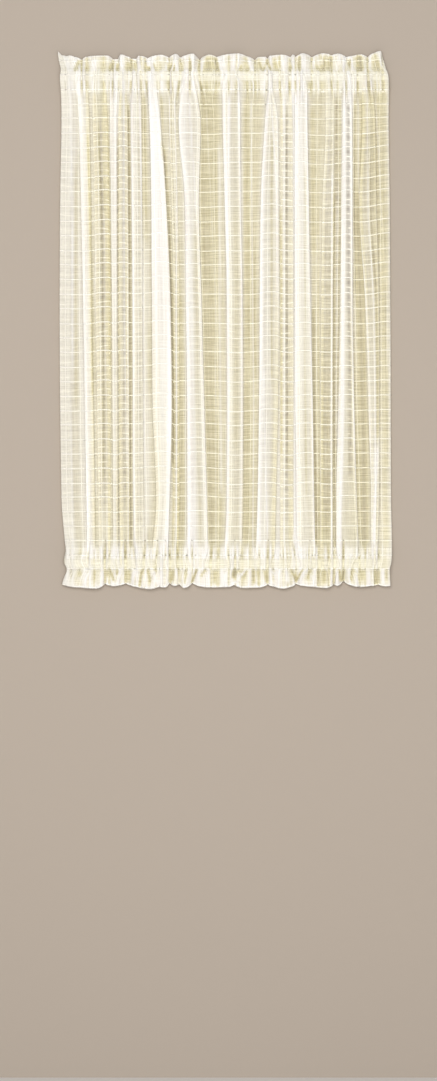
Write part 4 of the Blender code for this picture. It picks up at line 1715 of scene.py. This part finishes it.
@dataclass
class Studio:
    """Camera, soft lights, pale floor and a plain backdrop where the door's face would be.

    Sizes are in metres. The lights stand left and right of the camera.
    """

    view_height: float = 2.053
    distance: float = 6.0
    sensor: float = 36.0
    aim: tuple = (-0.0114, -0.015, -0.882)
    floor_height: float = -1.905
    floor_half: float = 9.0
    wall_half: float = 4.0
    wall_top: float = 2.2
    wall_gap: float = 0.002
    floor: StageFinish = StageFinish("pale_floor", (0.74, 0.72, 0.69, 1.0))
    wall: StageFinish = StageFinish("plain_backdrop", (0.36, 0.31, 0.26, 1.0), True)
    lights: tuple = (SoftLight("key", (-0.5, -4.6, -0.1), 1.7, 133.0, (1.0, 0.985, 0.965)),
                     SoftLight("fill", (0.5, -4.8, -0.8), 1.7, 98.0, (0.98, 0.985, 1.0)))
    lit: tuple = (0.0, 0.0, -0.45)
    surround: tuple = (0.95, 0.96, 1.0, 1.0)
    surround_strength: float = 0.42

    def build(self) -> None:
        """Builds the whole stage."""
        self._camera()
        wide, high, low, back = self.wall_half, self.wall_top, self.floor_height, self.wall_gap
        deep = self.floor_half
        self._plane("floor", ((-deep, -deep, low), (deep, -deep, low), (deep, deep, low),
                              (-deep, deep, low)), self.floor)
        self._plane("backdrop", ((-wide, back, low), (wide, back, low), (wide, back, high),
                                 (-wide, back, high)), self.wall)
        for light in self.lights:
            self._light(light)
        self._surround()
        bpy.context.scene.view_settings.view_transform = "Standard"

    def _camera(self) -> None:
        """A long lens, straight on, as far away as `distance`."""
        data = bpy.data.cameras.new("camera")
        data.sensor_width = self.sensor
        data.lens = self.sensor * self.distance / self.view_height
        camera = link(bpy.data.objects.new("camera", data))
        camera.location = (self.aim[0], self.aim[1] - self.distance, self.aim[2])
        camera.rotation_euler = (math.radians(90.0), 0.0, 0.0)
        bpy.context.scene.camera = camera

    def _plane(self, name: str, corners: tuple, finish: StageFinish) -> None:
        """One flat rectangle of the stage.

        Args:
            name: Its name.
            corners: Its four corners, in metres.
            finish: Its finish.
        """
        plane = mesh_object(name, np.array(corners) / METRES, np.array([[0, 1, 2, 3]]))
        plane.data.materials.append(finish.material())
        plane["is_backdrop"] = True

    def _light(self, light: SoftLight) -> None:
        """Hangs one light, aimed at the panel's middle.

        Args:
            light: The light.
        """
        data = bpy.data.lights.new(light.name, "AREA")
        data.size = light.size
        data.energy = light.watts
        data.color = light.colour
        lamp = link(bpy.data.objects.new(light.name, data))
        lamp.location = light.place
        aim = Vector(self.lit) - Vector(light.place)
        lamp.rotation_euler = aim.to_track_quat("-Z", "Y").to_euler()

    def _surround(self) -> None:
        """An even pale surround."""
        world = bpy.data.worlds.new("surround")
        world.use_nodes = True
        background = world.node_tree.nodes["Background"].inputs
        background["Color"].default_value = self.surround
        background["Strength"].default_value = self.surround_strength
        bpy.context.scene.world = world


CORDS = {
    Course.WEFT: ((1.05, 0.62, 0.3), CordFinish("weft_cord")),
    Course.WARP: ((0.42, 0.5, 0.3),
                  CordFinish("warp_cord", (0.94, 0.91, 0.77, 1.0), (0.80, 0.755, 0.55, 1.0))),
}


def reported(piece: Object) -> Object:
    """Reports a piece's name and size in faces, and returns it."""
    LOG.info("%s: %d faces", piece.name, len(piece.data.polygons))
    return piece


def main() -> None:
    """Builds every piece in order."""
    logging.basicConfig(level=logging.INFO, format="%(name)s: %(message)s")
    cad_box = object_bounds()
    Studio().build()
    shape = HungCloth()
    LOG.info("cloth cut %.0f by %.0f mm", shape.flat_width, shape.flat_length)
    panel = reported(CurtainPanel(shape, SheerFinish()).build())
    sewn = [reported(WindowpaneCords(shape, course, *make).build()) for course, make in CORDS.items()]
    sewn.append(reported(HemStitches(shape, CordFinish("stitch_thread")).build()))
    SashRods(EnamelFinish()).dress()
    boxes = {"cad": cad_box, "visual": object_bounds()}
    {name: [list(corner) for corner in box] for name, box in boxes.items()}


if __name__ == "__main__":
    main()
